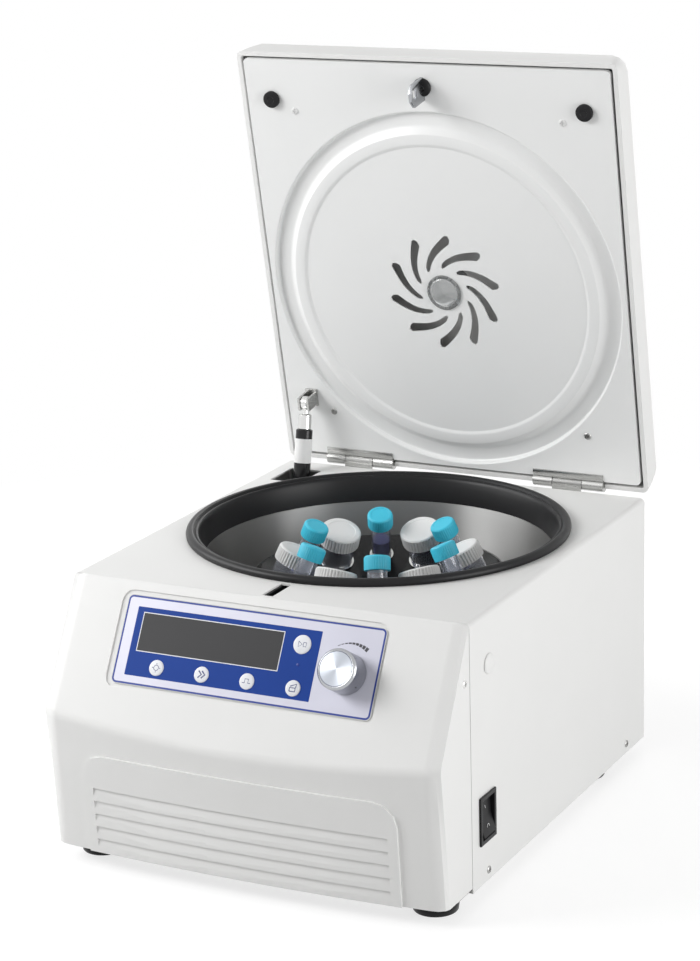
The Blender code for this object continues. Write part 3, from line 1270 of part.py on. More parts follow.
def panel_holes(gap):
    """Holes for the keys, the lamp and the knob's bushing, through cover and overlay."""
    shape = bmesh.new()
    deep = 2 * (COVER_WALL + OVERRUN)
    for _, x, s, radius in key_places():
        add_cylinder(shape, radius + gap, deep, Matrix.Translation((x, -s, 0)), KEY_STEPS)
    lamp_x, lamp_s = LAMP_PLACE
    add_cylinder(shape, LAMP_RADIUS + gap, deep, Matrix.Translation((lamp_x, -lamp_s, 0)), 8)
    knob_x, knob_s = KNOB_PLACE
    add_cylinder(shape, BUSHING_RADIUS + gap, deep, Matrix.Translation((knob_x, -knob_s, 0)), 10)
    return mesh_of(shape)


def panel_rows():
    """Heights of the raised panel's rows and its half-width at each: straight sides, round top corners."""
    rows = [(0, PANEL_HALF_WIDTH)]
    for n in range(PANEL_STEPS + 1):
        angle = math.radians(90 * n / PANEL_STEPS)
        rows.append((PANEL_TOP_Z - PANEL_CORNER + PANEL_CORNER * math.sin(angle),
                     PANEL_HALF_WIDTH - PANEL_CORNER + PANEL_CORNER * math.cos(angle)))
    return rows


def raised_panel(cover):
    """Low arched panel that follows the bowed lower face, with louvre grooves across it."""
    loops = []
    for z, half in panel_rows():
        xs = [half * share for share in PANEL_SPAN_SHARES]
        front = [(x, lower_y(x, z) - PANEL_PROUD, z) for x in xs]
        back = [(x, lower_y(x, z) + COVER_WALL / 2, z) for x in reversed(xs)]
        loops.append(front + back)
    join(cover, tool("raised_panel", mesh_of(loft(loops, close_first=True, close_last=True)), datum))
    grooves = bmesh.new()
    for n in range(LOUVRE_COUNT):
        add_louvre(grooves, LOUVRE_TOP_Z - n * LOUVRE_PITCH)
    cut(cover, tool("cut_louvres", mesh_of(grooves), datum))


def add_louvre(shape, top):
    """A wedge that is deep at its top edge and runs out at its foot, along the bowed face."""
    low = top - LOUVRE_HEIGHT
    rings = []
    for share in PANEL_SPAN_SHARES:
        x = LOUVRE_HALF_WIDTH * share
        skin = lower_y(x, top) - PANEL_PROUD
        foot = lower_y(x, low) - PANEL_PROUD
        rings.append([(x, skin - OVERRUN, top), (x, skin + LOUVRE_DEPTH, top),
                      (x, foot, low), (x, foot - OVERRUN, low)])
    groove = loft(rings, close_first=True, close_last=True)
    shape.from_mesh(mesh_of(groove))


def control_panel(panel):
    """Overlay, display, keys, lamp, knob with its encoder, and the board behind them."""
    overlay_low = GAP - RECESS_DEPTH
    overlay = rounded_block((RECESS_CENTRE_X + overlay_shift(), -RECESS_CENTRE_S),
                            (OVERLAY_WIDTH, OVERLAY_LENGTH),
                            (overlay_low, overlay_low + OVERLAY_SHEET), OVERLAY_CORNER, 3)
    piece = place("control_overlay", overlay, "overlay", panel)
    board_high = -BOARD_DEPTH
    low = (DISPLAY_X - DISPLAY_WIDTH / 2, -DISPLAY_S - DISPLAY_LENGTH / 2)
    high = (DISPLAY_X + DISPLAY_WIDTH / 2, -DISPLAY_S + DISPLAY_LENGTH / 2)
    hole = box((low[0] - GAP, low[1] - GAP, -COVER_WALL), (high[0] + GAP, high[1] + GAP, OVERRUN))
    cut(piece, tool("cut_overlay_display", hole, panel),
        tool("cut_overlay_holes", panel_holes(GAP), panel))
    glass = box((*low, board_high + GAP), (*high, overlay_low + OVERLAY_SHEET))
    place("display_window", glass, "screen", panel)
    for name, x, s, radius in key_places():
        holder = empty(f"{name}_axis", panel, (x, -s, 0))
        place(name, key_mesh(radius), "white", holder)
    lamp_x, lamp_s = LAMP_PLACE
    lamp_high = overlay_low + OVERLAY_SHEET
    lamp = cylinder(LAMP_RADIUS, lamp_high - board_high - GAP,
                    Matrix.Translation((0, 0, (lamp_high + board_high + GAP) / 2)), 8)
    place("status_lamp", lamp, "clear", panel, (lamp_x, -lamp_s, 0))
    knob(panel, lamp_high, board_high)
    control_board(panel, board_high)


def overlay_shift():
    """The overlay sits a little to the right in its recess."""
    return (RECESS_WIDTH - OVERLAY_WIDTH) / 4


def key_mesh(radius):
    """Round key with a collar behind the cover and a stem to its switch."""
    collar_high = -COVER_WALL - GAP
    stem_low = -BOARD_DEPTH + TACT_HEIGHT + GAP + KEY_TRAVEL
    profile = [(0, KEY_PROUD), (radius * KEY_CROWN_SHARE, KEY_PROUD), (radius, KEY_PROUD / 2),
               (radius, collar_high), (radius + KEY_FLANGE, collar_high),
               (radius + KEY_FLANGE, collar_high - KEY_FLANGE), (KEY_STEM_RADIUS, collar_high - KEY_FLANGE),
               (KEY_STEM_RADIUS, stem_low), (0, stem_low)]
    return turned(profile, KEY_STEPS, closed=False)


def knob(panel, overlay_high, board_high):
    """Hollow knob on a shaft that turns in the encoder's bushing."""
    x, s = KNOB_PLACE
    axis = empty("knob_axis", panel, (x, -s, 0))
    low = overlay_high + GAP
    high = low + KNOB_HEIGHT
    shaft = KNOB_SHAFT_RADIUS
    under = high - KNOB_FACE
    middle = low + KNOB_HEIGHT * KNOB_STEM_SHARE
    profile = [(0, high), (KNOB_RADIUS - KNOB_EDGE, high), (KNOB_RADIUS, high - KNOB_EDGE),
               (KNOB_RADIUS, low), (KNOB_RADIUS - KNOB_WALL, low), (KNOB_RADIUS - KNOB_WALL, under),
               (shaft + KNOB_WALL, under), (shaft + KNOB_WALL, middle), (shaft + GAP, middle),
               (shaft + GAP, under + OVERLAP), (0, under + OVERLAP)]
    place("speed_knob", turned(profile, 20, closed=False), "aluminium", axis)
    bush_high = middle - GAP
    encoder_low = board_high + GAP
    encoder_high = -COVER_WALL - GAP
    bore = shaft + GAP
    half = ENCODER_SIDE / 2
    body = place("encoder_body", box((-half, -half, encoder_low), (half, half, encoder_high)), "zinc", axis)
    bush = cylinder(BUSHING_RADIUS, bush_high - encoder_high + OVERLAP,
                    Matrix.Translation((0, 0, (bush_high + encoder_high - OVERLAP) / 2)), 10)
    join(body, tool("bushing", bush, axis))
    shaft_low = encoder_low + ENCODER_SIDE * ENCODER_SHAFT_SHARE
    shaft_high = under + OVERLAP - GAP
    way = cylinder(bore, bush_high + OVERRUN - shaft_low + GAP,
                   Matrix.Translation((0, 0, (bush_high + OVERRUN + shaft_low - GAP) / 2)), 10)
    cut(body, tool("cut_encoder", way, axis))
    pin = cylinder(shaft, shaft_high - shaft_low, Matrix.Translation((0, 0, (shaft_high + shaft_low) / 2)), 10)
    place("encoder_shaft", pin, "steel", axis)


def control_board(panel, board_high):
    """Circuit board with one small switch under each key."""
    low = (RECESS_CENTRE_X - BOARD_WIDTH / 2, -RECESS_CENTRE_S - BOARD_LENGTH / 2)
    high = (RECESS_CENTRE_X + BOARD_WIDTH / 2, -RECESS_CENTRE_S + BOARD_LENGTH / 2)
    piece = place("control_board", box((*low, board_high - BOARD_SHEET), (*high, board_high)), "board", panel)
    tacts = bmesh.new()
    half = TACT_SIDE / 2
    for _, x, s, _ in key_places():
        add_box(tacts, (x - half, -s - half, board_high - OVERLAP),
                (x + half, -s + half, board_high + TACT_HEIGHT))
    join(piece, tool("tact_switches", mesh_of(tacts), panel))


def power_switch():
    """Switch body with a rim outside the case and a rocker that tips about Y."""
    skin = CASE_HALF + GAP
    centre = empty("switch_face", datum, (skin, SWITCH_Y, SWITCH_Z))
    half_y = SWITCH_WIDTH / 2
    half_z = SWITCH_HEIGHT / 2
    rim = box((0, -half_y, -half_z), (SWITCH_RIM, half_y, half_z))
    piece = place("switch_body", rim, "black", centre)
    neck = box((-SWITCH_DEPTH, -half_y + SWITCH_NECK_INSET, -half_z + SWITCH_NECK_INSET),
               (OVERLAP, half_y - SWITCH_NECK_INSET, half_z - SWITCH_NECK_INSET))
    join(piece, tool("switch_neck", neck, centre))
    room_y = half_y - SWITCH_FRAME
    room_z = half_z - SWITCH_FRAME
    room = box((-SWITCH_DEPTH / 2, -room_y, -room_z), (OVERRUN, room_y, room_z))
    cut(piece, tool("cut_rocker_room", room, centre))
    pivot = empty("rocker_axis", centre, (-ROCKER_PIVOT_INSET, 0, 0), (0, -ROCKER_TILT, 0))
    end = room_z - ROCKER_PLAY
    rise = ROCKER_FACE + ROCKER_END_RISE
    back = end * ROCKER_BACK_SHARE
    outline = [(rise, end), (ROCKER_FACE, 0), (rise, -end), (-ROCKER_BACK, -back), (-ROCKER_BACK, back)]
    body = flat_plate(outline, 2 * (room_y - GAP))
    body.transform(Matrix.Rotation(math.radians(90), 4, "X"))
    place("switch_rocker", body, "black", pivot)


def release_plug():
    """Domed plug in the hole of the emergency lid release."""
    skin = CASE_HALF + GAP
    dome = [(PLUG_RADIUS * math.sin(math.radians(a)), PLUG_DOME * math.cos(math.radians(a)))
            for a in PLUG_DOME_ANGLES]
    profile = dome + [(PLUG_NECK_RADIUS, 0), (PLUG_NECK_RADIUS, -PLUG_NECK_LENGTH), (0, -PLUG_NECK_LENGTH)]
    mesh = turned(profile, 14, closed=False)
    mesh.transform(Matrix.Rotation(math.radians(90), 4, "Y"))
    place("release_plug", mesh, "white", datum, (skin, PLUG_Y, PLUG_Z))


def power_inlet():
    """Three-pin appliance inlet in the rear panel."""
    centre = empty("inlet_face", datum, (INLET_X, GAP, INLET_Z), (math.radians(-90), 0, 0))
    flange = rounded_block((0, 0), (INLET_FLANGE_WIDTH, INLET_FLANGE_HEIGHT), (0, INLET_FLANGE_SHEET),
                           INLET_BEVEL, 2)
    piece = place("power_inlet", flange, "black", centre)
    body = box((-INLET_BODY_WIDTH / 2, -INLET_BODY_HEIGHT / 2, -INLET_BODY_DEPTH),
               (INLET_BODY_WIDTH / 2, INLET_BODY_HEIGHT / 2, OVERLAP))
    join(piece, tool("inlet_body", body, centre))
    half_x = INLET_SOCKET_WIDTH / 2
    half_y = INLET_SOCKET_HEIGHT / 2
    outline = [(half_x, -half_y), (half_x, half_y - INLET_BEVEL), (half_x - INLET_BEVEL, half_y),
               (-half_x + INLET_BEVEL, half_y), (-half_x, half_y - INLET_BEVEL), (-half_x, -half_y)]
    depth = INLET_SOCKET_DEPTH + OVERRUN
    socket = flat_plate(outline, depth)
    socket.transform(Matrix.Translation((0, 0, OVERRUN - depth / 2)))
    cut(piece, tool("cut_socket", socket, centre))
    pins = bmesh.new()
    for x, y in ((-INLET_PIN_PITCH, -INLET_PIN_HEIGHT / 2), (0, INLET_PIN_HEIGHT / 2),
                 (INLET_PIN_PITCH, -INLET_PIN_HEIGHT / 2)):
        add_box(pins, (x - INLET_PIN_WIDTH / 2, y - INLET_PIN_HEIGHT / 2, -INLET_SOCKET_DEPTH - OVERLAP),
                (x + INLET_PIN_WIDTH / 2, y + INLET_PIN_HEIGHT / 2, -INLET_PIN_HEIGHT))
    join(piece, tool("inlet_pins", mesh_of(pins), centre))


def drive_board():
    """Motor drive board on the pan's standoffs, with its heat sink and capacitors."""
    low = BASE_SHEET + STANDOFF_HEIGHT + GAP
    high = low + BOARD_SHEET
    mesh = box((DRIVE_BOARD_X[0], DRIVE_BOARD_Y[0], low), (DRIVE_BOARD_X[1], DRIVE_BOARD_Y[1], high))
    piece = place("drive_board", mesh, "board", datum)
    middle_y = (DRIVE_BOARD_Y[0] + DRIVE_BOARD_Y[1]) / 2
    tall = bmesh.new()
    add_box(tall, (SINK_X[0], middle_y - SINK_HALF_DEPTH, high - OVERLAP),
            (SINK_X[1], middle_y + SINK_HALF_DEPTH, high + SINK_HEIGHT))
    for x in CAPACITOR_XS:
        add_cylinder(tall, CAPACITOR_RADIUS, CAPACITOR_HEIGHT + OVERLAP,
                     Matrix.Translation((x, middle_y, high + (CAPACITOR_HEIGHT - OVERLAP) / 2)), 10)
    join(piece, tool("board_components", mesh_of(tall), datum))


case_shell()
base_plate()
feet()
rear_panel()
chamber_axis = chamber()
motor(chamber_axis)
rotor(chamber_axis)
lid_hinge = empty("lid_hinge", datum, (0, HINGE_Y, HINGE_Z), (-LID_OPEN, 0, 0))
lid(lid_hinge)
lid_fittings(lid_hinge)
hinges(lid_hinge)
gas_strut(lid_hinge)
lid_lock()
panel_face = empty("panel_face", datum, (0, FACE_TOP_Y, FACE_TOP_Z), (math.radians(90) - FACE_RAKE, 0, 0))
front_cover(panel_face)
control_panel(panel_face)
power_switch()
release_plug()
power_inlet()
drive_board()
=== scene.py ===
import math

import bpy
from mathutils import Matrix, Vector


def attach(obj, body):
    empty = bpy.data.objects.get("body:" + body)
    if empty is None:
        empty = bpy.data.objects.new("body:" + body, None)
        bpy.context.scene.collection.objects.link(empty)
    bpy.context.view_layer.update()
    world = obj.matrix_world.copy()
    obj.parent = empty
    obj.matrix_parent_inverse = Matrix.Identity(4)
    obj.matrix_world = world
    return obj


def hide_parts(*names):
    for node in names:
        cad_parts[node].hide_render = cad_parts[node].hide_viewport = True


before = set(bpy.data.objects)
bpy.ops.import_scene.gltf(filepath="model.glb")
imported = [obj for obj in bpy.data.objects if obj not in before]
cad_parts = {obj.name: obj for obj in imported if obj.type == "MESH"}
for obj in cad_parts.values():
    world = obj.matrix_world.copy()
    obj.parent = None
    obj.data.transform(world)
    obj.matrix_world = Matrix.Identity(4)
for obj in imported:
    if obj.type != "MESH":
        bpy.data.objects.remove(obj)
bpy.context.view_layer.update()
bpy.ops.object.select_all(action="DESELECT")
print("frame loaded:", len(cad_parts), "nodes")

# The frames that pieces are placed in, as the CAD has them. Metres and degrees.
places = dict(
    case=(-0.000975, 0.197502, 0.010),
    chamber=(-0.000975, 0.032202, 0.010),
    rotorTurn=-65.0,
    hinge=(-0.000975, 0.203502, 0.2323),
    lidOpen=-78.8,
    panel=(-0.000975, -0.168498, 0.2271),
    panelTilt=60.4,
    strut=(-0.142975, 0.177624, 0.288341),
    strutLean=-11.1482,
    rocker=(0.167325, -0.138998, 0.0632),
    rockerTilt=-9.5,
    inlet=(0.131025, 0.197802, 0.052),
)


def move(x, y, z):
    return Matrix.Translation((x, y, z))


def spun(angle, axis):
    return Matrix.Rotation(math.radians(angle), 4, axis)


def turnedFrame(spot, angle=0.0, axis="X"):
    return move(*spot) @ spun(angle, axis)


caseFrame = turnedFrame(places["case"])
chamberFrame = turnedFrame(places["chamber"])
rotorFrame = turnedFrame(places["chamber"], places["rotorTurn"], "Z")
lidFrame = turnedFrame(places["hinge"], places["lidOpen"])
panelFrame = turnedFrame(places["panel"], places["panelTilt"])
strutFrame = turnedFrame(places["strut"], places["strutLean"])
rockerFrame = turnedFrame(places["rocker"], places["rockerTilt"], "Y")
inletFrame = turnedFrame(places["inlet"], -90)


# Materials

def link(tree, source, target):
    tree.links.new(source, target)


def addNode(tree, kind, **values):
    node = tree.nodes.new(kind)
    for name, value in values.items():
        if hasattr(node, name):
            setattr(node, name, value)
        else:
            node.inputs[name].default_value = value
    return node


def finish(name, look):
    # One procedural finish: drifting colour, uneven gloss and a fine bump, all on object coordinates
    made = bpy.data.materials.new(name)
    made.use_nodes = True
    tree = made.node_tree
    shader = tree.nodes["Principled BSDF"]
    coords = addNode(tree, "ShaderNodeTexCoord")
    if "axle" in look:
        vector = roundCoords(tree, coords, look["axle"])
    else:
        stretch = addNode(tree, "ShaderNodeMapping", Scale=look.get("stretch", (1, 1, 1)))
        link(tree, coords.outputs["Object"], stretch.inputs["Vector"])
        vector = stretch.outputs["Vector"]
    drift = addNode(tree, "ShaderNodeTexNoise", Scale=look.get("drift", 18), Detail=3)
    link(tree, coords.outputs["Object"], drift.inputs["Vector"])
    ramp = addNode(tree, "ShaderNodeValToRGB")
    for end, place, share in zip(ramp.color_ramp.elements, (0.3, 0.7), (look.get("shade", 0.96), 1)):
        end.position = place
        end.color = (*[c * share for c in look["colour"]], 1)
    link(tree, drift.outputs["Fac"], ramp.inputs["Fac"])
    link(tree, ramp.outputs["Color"], shader.inputs["Base Color"])
    grain = addNode(tree, "ShaderNodeTexNoise", Scale=look.get("grain", 900), Detail=2)
    link(tree, vector, grain.inputs["Vector"])
    gloss = addNode(tree, "ShaderNodeMapRange", **{"To Min": look["rough"][0], "To Max": look["rough"][1]})
    link(tree, grain.outputs["Fac"], gloss.inputs["Value"])
    link(tree, gloss.outputs["Result"], shader.inputs["Roughness"])
    bump = addNode(tree, "ShaderNodeBump", Strength=look.get("bump", 0.1), Distance=0.0003)
    link(tree, grain.outputs["Fac"], bump.inputs["Height"])
    link(tree, bump.outputs["Normal"], shader.inputs["Normal"])
    settings = {"Metallic": look.get("metal", 0), "Coat Weight": look.get("coat", 0), "Coat Roughness": 0.1,
                "Transmission Weight": look.get("clear", 0), "Anisotropic": look.get("brushed", 0),
                "IOR": look.get("ior", 1.48), "Specular IOR Level": look.get("shine", 0.4)}
    for socket, value in settings.items():
        shader.inputs[socket].default_value = value
    if "brushed" in look:
        link(tree, brushedWay(tree, coords, look["axle"], look.get("turned")), shader.inputs["Tangent"])
    made.diffuse_color = (*look["colour"], 1)
    return made


def roundCoords(tree, coords, axle):
    # Radius from the axle, and height, so that the grain runs in rings as on a turned or spun piece
    split = addNode(tree, "ShaderNodeSeparateXYZ")
    shift = addNode(tree, "ShaderNodeVectorMath", operation="SUBTRACT")
    shift.inputs[1].default_value = (axle[0], axle[1], 0)
    link(tree, coords.outputs["Object"], shift.inputs[0])
    link(tree, shift.outputs["Vector"], split.inputs["Vector"])
    flat = addNode(tree, "ShaderNodeCombineXYZ")
    link(tree, split.outputs["X"], flat.inputs["X"])
    link(tree, split.outputs["Y"], flat.inputs["Y"])
    reach = addNode(tree, "ShaderNodeVectorMath", operation="LENGTH")
    link(tree, flat.outputs["Vector"], reach.inputs[0])
    rings = addNode(tree, "ShaderNodeCombineXYZ")
    link(tree, reach.outputs["Value"], rings.inputs["X"])
    link(tree, split.outputs["Z"], rings.inputs["Y"])
    return rings.outputs["Vector"]


def brushedWay(tree, coords, axle, faceOnly=False):
    # Across the turning marks: up the wall of a spun piece and outwards on its floor or face
    shift = addNode(tree, "ShaderNodeVectorMath", operation="SUBTRACT")
    shift.inputs[1].default_value = axle
    link(tree, coords.outputs["Object"], shift.inputs[0])
    flat = addNode(tree, "ShaderNodeVectorMath", operation="MULTIPLY")
    flat.inputs[1].default_value = (1, 1, 1) if faceOnly else (1, 1, 0)
    link(tree, shift.outputs["Vector"], flat.inputs[0])
    outwards = addNode(tree, "ShaderNodeVectorMath", operation="NORMALIZE")
    link(tree, flat.outputs["Vector"], outwards.inputs[0])
    both = addNode(tree, "ShaderNodeVectorMath", operation="ADD")
    both.inputs[1].default_value = (0, 0, 0) if faceOnly else (0, 0, 1)
    link(tree, outwards.outputs["Vector"], both.inputs[0])
    return both.outputs["Vector"]


chamberAxle = (places["chamber"][0], places["chamber"][1], 0)
knobSpot = tuple(panelFrame @ Vector((0.083, -0.0492, 0.0207)))  # the middle of the knob's face
looks = {
    "casePaint": dict(colour=(0.80, 0.80, 0.79), shade=0.985, rough=(0.34, 0.46), grain=1400, bump=0.12),
    "moulding": dict(colour=(0.81, 0.81, 0.80), shade=0.985, rough=(0.40, 0.52), grain=2200, bump=0.14),
    "linerPlastic": dict(colour=(0.85, 0.855, 0.85), shade=0.99, rough=(0.30, 0.36), grain=700, bump=0.004),
    "blackRubber": dict(colour=(0.013, 0.013, 0.014), shade=0.8, rough=(0.30, 0.42), grain=700, bump=0.05,
                        shine=0.22),
    "bowlSteel": dict(colour=(0.40, 0.40, 0.395), shade=0.92, rough=(0.36, 0.52), grain=1500, bump=0.03,
                      metal=1, brushed=0.92, axle=chamberAxle, drift=9),
    "platedSteel": dict(colour=(0.50, 0.50, 0.49), shade=0.95, rough=(0.25, 0.30), grain=900, bump=0.003,
                        metal=1, stretch=(0.05, 1, 1)),
    "dullSteel": dict(colour=(0.42, 0.42, 0.41), shade=0.85, rough=(0.28, 0.42), grain=800, bump=0.1, metal=1),
    "brightSteel": dict(colour=(0.78, 0.78, 0.77), shade=0.9, rough=(0.10, 0.2), grain=600, bump=0.04, metal=1),
    "rotorBlack": dict(colour=(0.012, 0.012, 0.013), shade=0.8, rough=(0.14, 0.24), grain=1200, bump=0.03,
                       coat=0.15, shine=0.25, axle=chamberAxle),
    "satinSilver": dict(colour=(0.44, 0.45, 0.47), shade=0.93, rough=(0.20, 0.30), grain=1800, bump=0.04,
                        metal=1),
    "knobFace": dict(colour=(0.50, 0.53, 0.58), shade=0.97, rough=(0.30, 0.38), grain=2400, bump=0.03,
                     metal=1, brushed=0.8, axle=knobSpot, turned=True),
    # Dark ring on the knob's face: painted shade of a groove, not a ring of its own colour
    "knobGrooveShade": dict(colour=(0.10, 0.11, 0.15), shade=0.9, rough=(0.3, 0.4), metal=0.6),
    "knobMark": dict(colour=(0.05, 0.05, 0.06), rough=(0.4, 0.5)),
    "whiteCap": dict(colour=(0.78, 0.78, 0.775), shade=0.96, rough=(0.36, 0.5), grain=900, bump=0.08),
    "turquoiseCap": dict(colour=(0.055, 0.55, 0.74), shade=0.94, rough=(0.34, 0.46), grain=900, bump=0.08),
    "tubeClear": dict(colour=(0.86, 0.88, 0.94), shade=0.97, rough=(0.06, 0.14), clear=0.92, ior=1.45),
    "tubeSample": dict(colour=(0.30, 0.30, 0.62), shade=0.7, rough=(0.1, 0.2), clear=0.35, drift=60, ior=1.34),
    "lensClear": dict(colour=(0.48, 0.49, 0.49), shade=0.9, rough=(0.05, 0.10), clear=0.7, ior=1.49),
    "panelSilver": dict(colour=(0.59, 0.59, 0.68), shade=0.95, rough=(0.30, 0.4), grain=1500, bump=0.05,
                        metal=0.15),
    "panelRim": dict(colour=(0.66, 0.66, 0.64), shade=0.97, rough=(0.34, 0.44), grain=1500, bump=0.02),
    "panelBlue": dict(colour=(0.004, 0.046, 0.29), shade=0.95, rough=(0.36, 0.44), grain=1500, bump=0.02,
                      shine=0.15),
    "panelLine": dict(colour=(0.018, 0.045, 0.28), shade=0.93, rough=(0.32, 0.42), grain=1500, bump=0.05),
    "panelWhite": dict(colour=(0.80, 0.81, 0.84), shade=0.97, rough=(0.32, 0.42), grain=1500, bump=0.05),
    "screenGlass": dict(colour=(0.060, 0.060, 0.062), shade=0.97, rough=(0.30, 0.36), grain=300, bump=0.01,
                        shine=0.12),
    "glyphGrey": dict(colour=(0.08, 0.10, 0.22), rough=(0.4, 0.5)),
    "blackPlastic": dict(colour=(0.009, 0.009, 0.010), shade=0.85, rough=(0.28, 0.42), grain=1100, bump=0.05,
                         shine=0.2),
    "rockerPlastic": dict(colour=(0.012, 0.012, 0.013), shade=0.9, rough=(0.34, 0.46), grain=1100, bump=0.05,
                          shine=0.2),
    "inkWhite": dict(colour=(0.70, 0.70, 0.70), rough=(0.4, 0.5)),
    "boardGreen": dict(colour=(0.02, 0.17, 0.08), shade=0.8, rough=(0.3, 0.5), grain=400, bump=0.1),
    "motorPaint": dict(colour=(0.04, 0.04, 0.045), shade=0.85, rough=(0.4, 0.55), grain=900, bump=0.12),
    "brassPin": dict(colour=(0.62, 0.52, 0.30), shade=0.9, rough=(0.2, 0.3), metal=1),
    "paleFloor": dict(colour=(0.60, 0.60, 0.60), shade=0.995, rough=(0.7, 0.8), grain=60, bump=0.01),
}
mats = {name: finish(name, look) for name, look in looks.items()}
print("materials made:", len(mats))

# The look of each CAD node, by how its name starts
nodeLooks = {
    "casePaint": ("case_shell", "rear_panel"),
    "moulding": ("front_cover", "lid_shell", "release_plug"),
    "linerPlastic": ("lid_liner",),
    "blackRubber": ("foot", "chamber_gasket", "lid_bumper", "motor_mount"),
    "bowlSteel": ("chamber_bowl", "armour_ring"),
    "brightSteel": ("drive_shaft", "latch_striker", "strut_rod", "encoder_shaft", "rotor_nut", "lock_bolt"),
    "platedSteel": ("base_plate", "case_leaf", "lid_leaf", "strut_bracket", "encoder_body"),
    "rotorBlack": ("rotor_body",),
    "motorPaint": ("motor_body",),
    "satinSilver": ("speed_knob",),
    "lensClear": ("lid_window", "status_lamp"),
    "panelRim": ("control_overlay",),
    "screenGlass": ("display_window",),
    "panelWhite": ("key",),
    "blackPlastic": ("strut_cylinder", "switch_body", "power_inlet", "lock_body"),
    "rockerPlastic": ("switch_rocker",),
    "boardGreen": ("control_board", "drive_board"),
    "whiteCap": ("tube_50ml",),
    "turquoiseCap": ("tube_15ml",),
}
for name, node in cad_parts.items():
    for look, starts in nodeLooks.items():
        if name.startswith(starts):
            node.data.materials.clear()
            node.data.materials.append(mats[look])


# Modelling helpers

def alone(piece):
    bpy.ops.object.select_all(action="DESELECT")
    piece.select_set(True)
    bpy.context.view_layer.objects.active = piece


def selectAll():
    bpy.ops.mesh.select_all(action="SELECT")


def editAll(piece):
    alone(piece)
    bpy.ops.object.mode_set(mode="EDIT")
    selectAll()


def leaveEdit():
    bpy.ops.object.mode_set(mode="OBJECT")


def raiseRing(now, then):
    # Extrudes the selected ring from one radius and height to the next
    bpy.ops.mesh.extrude_edges_move(TRANSFORM_OT_translate={"value": (0, 0, then[1] - now[1])})
    share = then[0] / now[0]
    bpy.ops.transform.resize(value=(share, share, 1), center_override=(0, 0, then[1]))


def applyPlace():
    bpy.ops.object.transform_apply(location=True, rotation=True, scale=True)


def settle(piece, matrix):
    # Puts the piece in its frame and leaves its object at the origin
    alone(piece)
    piece.matrix_world = matrix @ piece.matrix_world
    applyPlace()
    return piece


def placed(name, data):
    thing = bpy.data.objects.new(name, data)
    bpy.context.scene.collection.objects.link(thing)
    return thing


def modify(piece, kind, **values):
    # Adds a modifier with these values and applies it
    alone(piece)
    step = piece.modifiers.new("step", kind)
    for name, value in values.items():
        setattr(step, name, value)
    bpy.ops.object.modifier_apply(modifier=step.name)
    return piece


def outward(piece):
    editAll(piece)
    bpy.ops.mesh.normals_make_consistent(inside=False)
    leaveEdit()


def ringStack(name, rings, steps, closed=False):
    # A circle extruded and resized ring by ring, as (radius, height), then capped or joined to itself
    bpy.ops.mesh.primitive_circle_add(vertices=steps, radius=rings[0][0])
    piece = bpy.context.object
    piece.name = name
    bpy.ops.object.mode_set(mode="EDIT")
    selectAll()
    bpy.ops.transform.translate(value=(0, 0, rings[0][1]))
    loop = rings + rings[:1] if closed else rings
    for now, then in zip(loop, loop[1:]):
        raiseRing(now, then)
    selectAll()
    bpy.ops.mesh.remove_doubles(threshold=0.000005)
    if not closed:
        bpy.ops.mesh.fill_holes(sides=0)
    selectAll()
    bpy.ops.mesh.normals_make_consistent(inside=False)
    leaveEdit()
    return piece


def block(name, low, high):
    middle = [(a + b) / 2 for a, b in zip(low, high)]
    bpy.ops.mesh.primitive_cube_add(size=1, location=middle)
    piece = bpy.context.object
    piece.name = name
    piece.scale = [b - a for a, b in zip(low, high)]
    applyPlace()
    return piece


def rectangle(name, low, high, height, corner, steps):
    # A flat face between two corners, its own corners rounded. It stays in edit mode, selected
    middle = [(a + b) / 2 for a, b in zip(low, high)]
    bpy.ops.mesh.primitive_plane_add(size=1, location=(*middle, height))
    piece = bpy.context.object
    piece.name = name
    piece.scale = (high[0] - low[0], high[1] - low[1], 1)
    applyPlace()
    editAll(piece)
    if corner:
        bpy.ops.mesh.bevel(offset=corner, segments=steps, affect="VERTICES")
        selectAll()
    return piece


def softEdges(piece, width):
    return modify(piece, "BEVEL", width=width, segments=2, limit_method="ANGLE", angle_limit=math.radians(30),
                  use_clamp_overlap=True)


def smooth(piece, angle=35):
    alone(piece)
    bpy.ops.object.shade_smooth_by_angle(angle=math.radians(angle))
    return piece


def carve(piece, cutter):
    modify(piece, "BOOLEAN", operation="DIFFERENCE", solver="EXACT", object=cutter)
    bpy.data.objects.remove(cutter)
    return piece


def joined(name, parts):
    bpy.ops.object.select_all(action="DESELECT")
    for part in parts:
        part.select_set(True)
    bpy.context.view_layer.objects.active = parts[0]
    bpy.ops.object.join()
    piece = bpy.context.object
    piece.name = name
    return piece


def twin(piece, name):
    # A copy with its own mesh
    alone(piece)
    bpy.ops.object.duplicate()
    copied = bpy.context.object
    copied.name = name
    return copied


def cadCopy(node, name, edge, cuts):
    # The node's own shape, merged, trimmed where the photograph is, with its hard edges softened
    piece = placed(name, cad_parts[node].data.copy())
    editAll(piece)
    bpy.ops.mesh.remove_doubles(threshold=0.00001)
    bpy.ops.mesh.dissolve_limited(angle_limit=math.radians(0.4))
    leaveEdit()
    for low, high in cuts:
        carve(piece, block("trim", low, high))
    softEdges(piece, edge)
    smooth(piece, 30)
    return modify(piece, "WEIGHTED_NORMAL", keep_sharp=True)


def dress(piece, look, body, slot, *nodes):
    piece.data.materials.clear()
    piece.data.materials.append(mats[look])
    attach(piece, body)
    if nodes:
        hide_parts(*nodes)
    return piece


def arc(centre, radius, start, end, steps):
    # Profile points (radius, height) of a quarter or any part of a circle
    made = []
    for n in range(steps + 1):
        turn = math.radians(start + (end - start) * n / steps)
        made.append((centre[0] + radius * math.cos(turn), centre[1] + radius * math.sin(turn)))
    return made


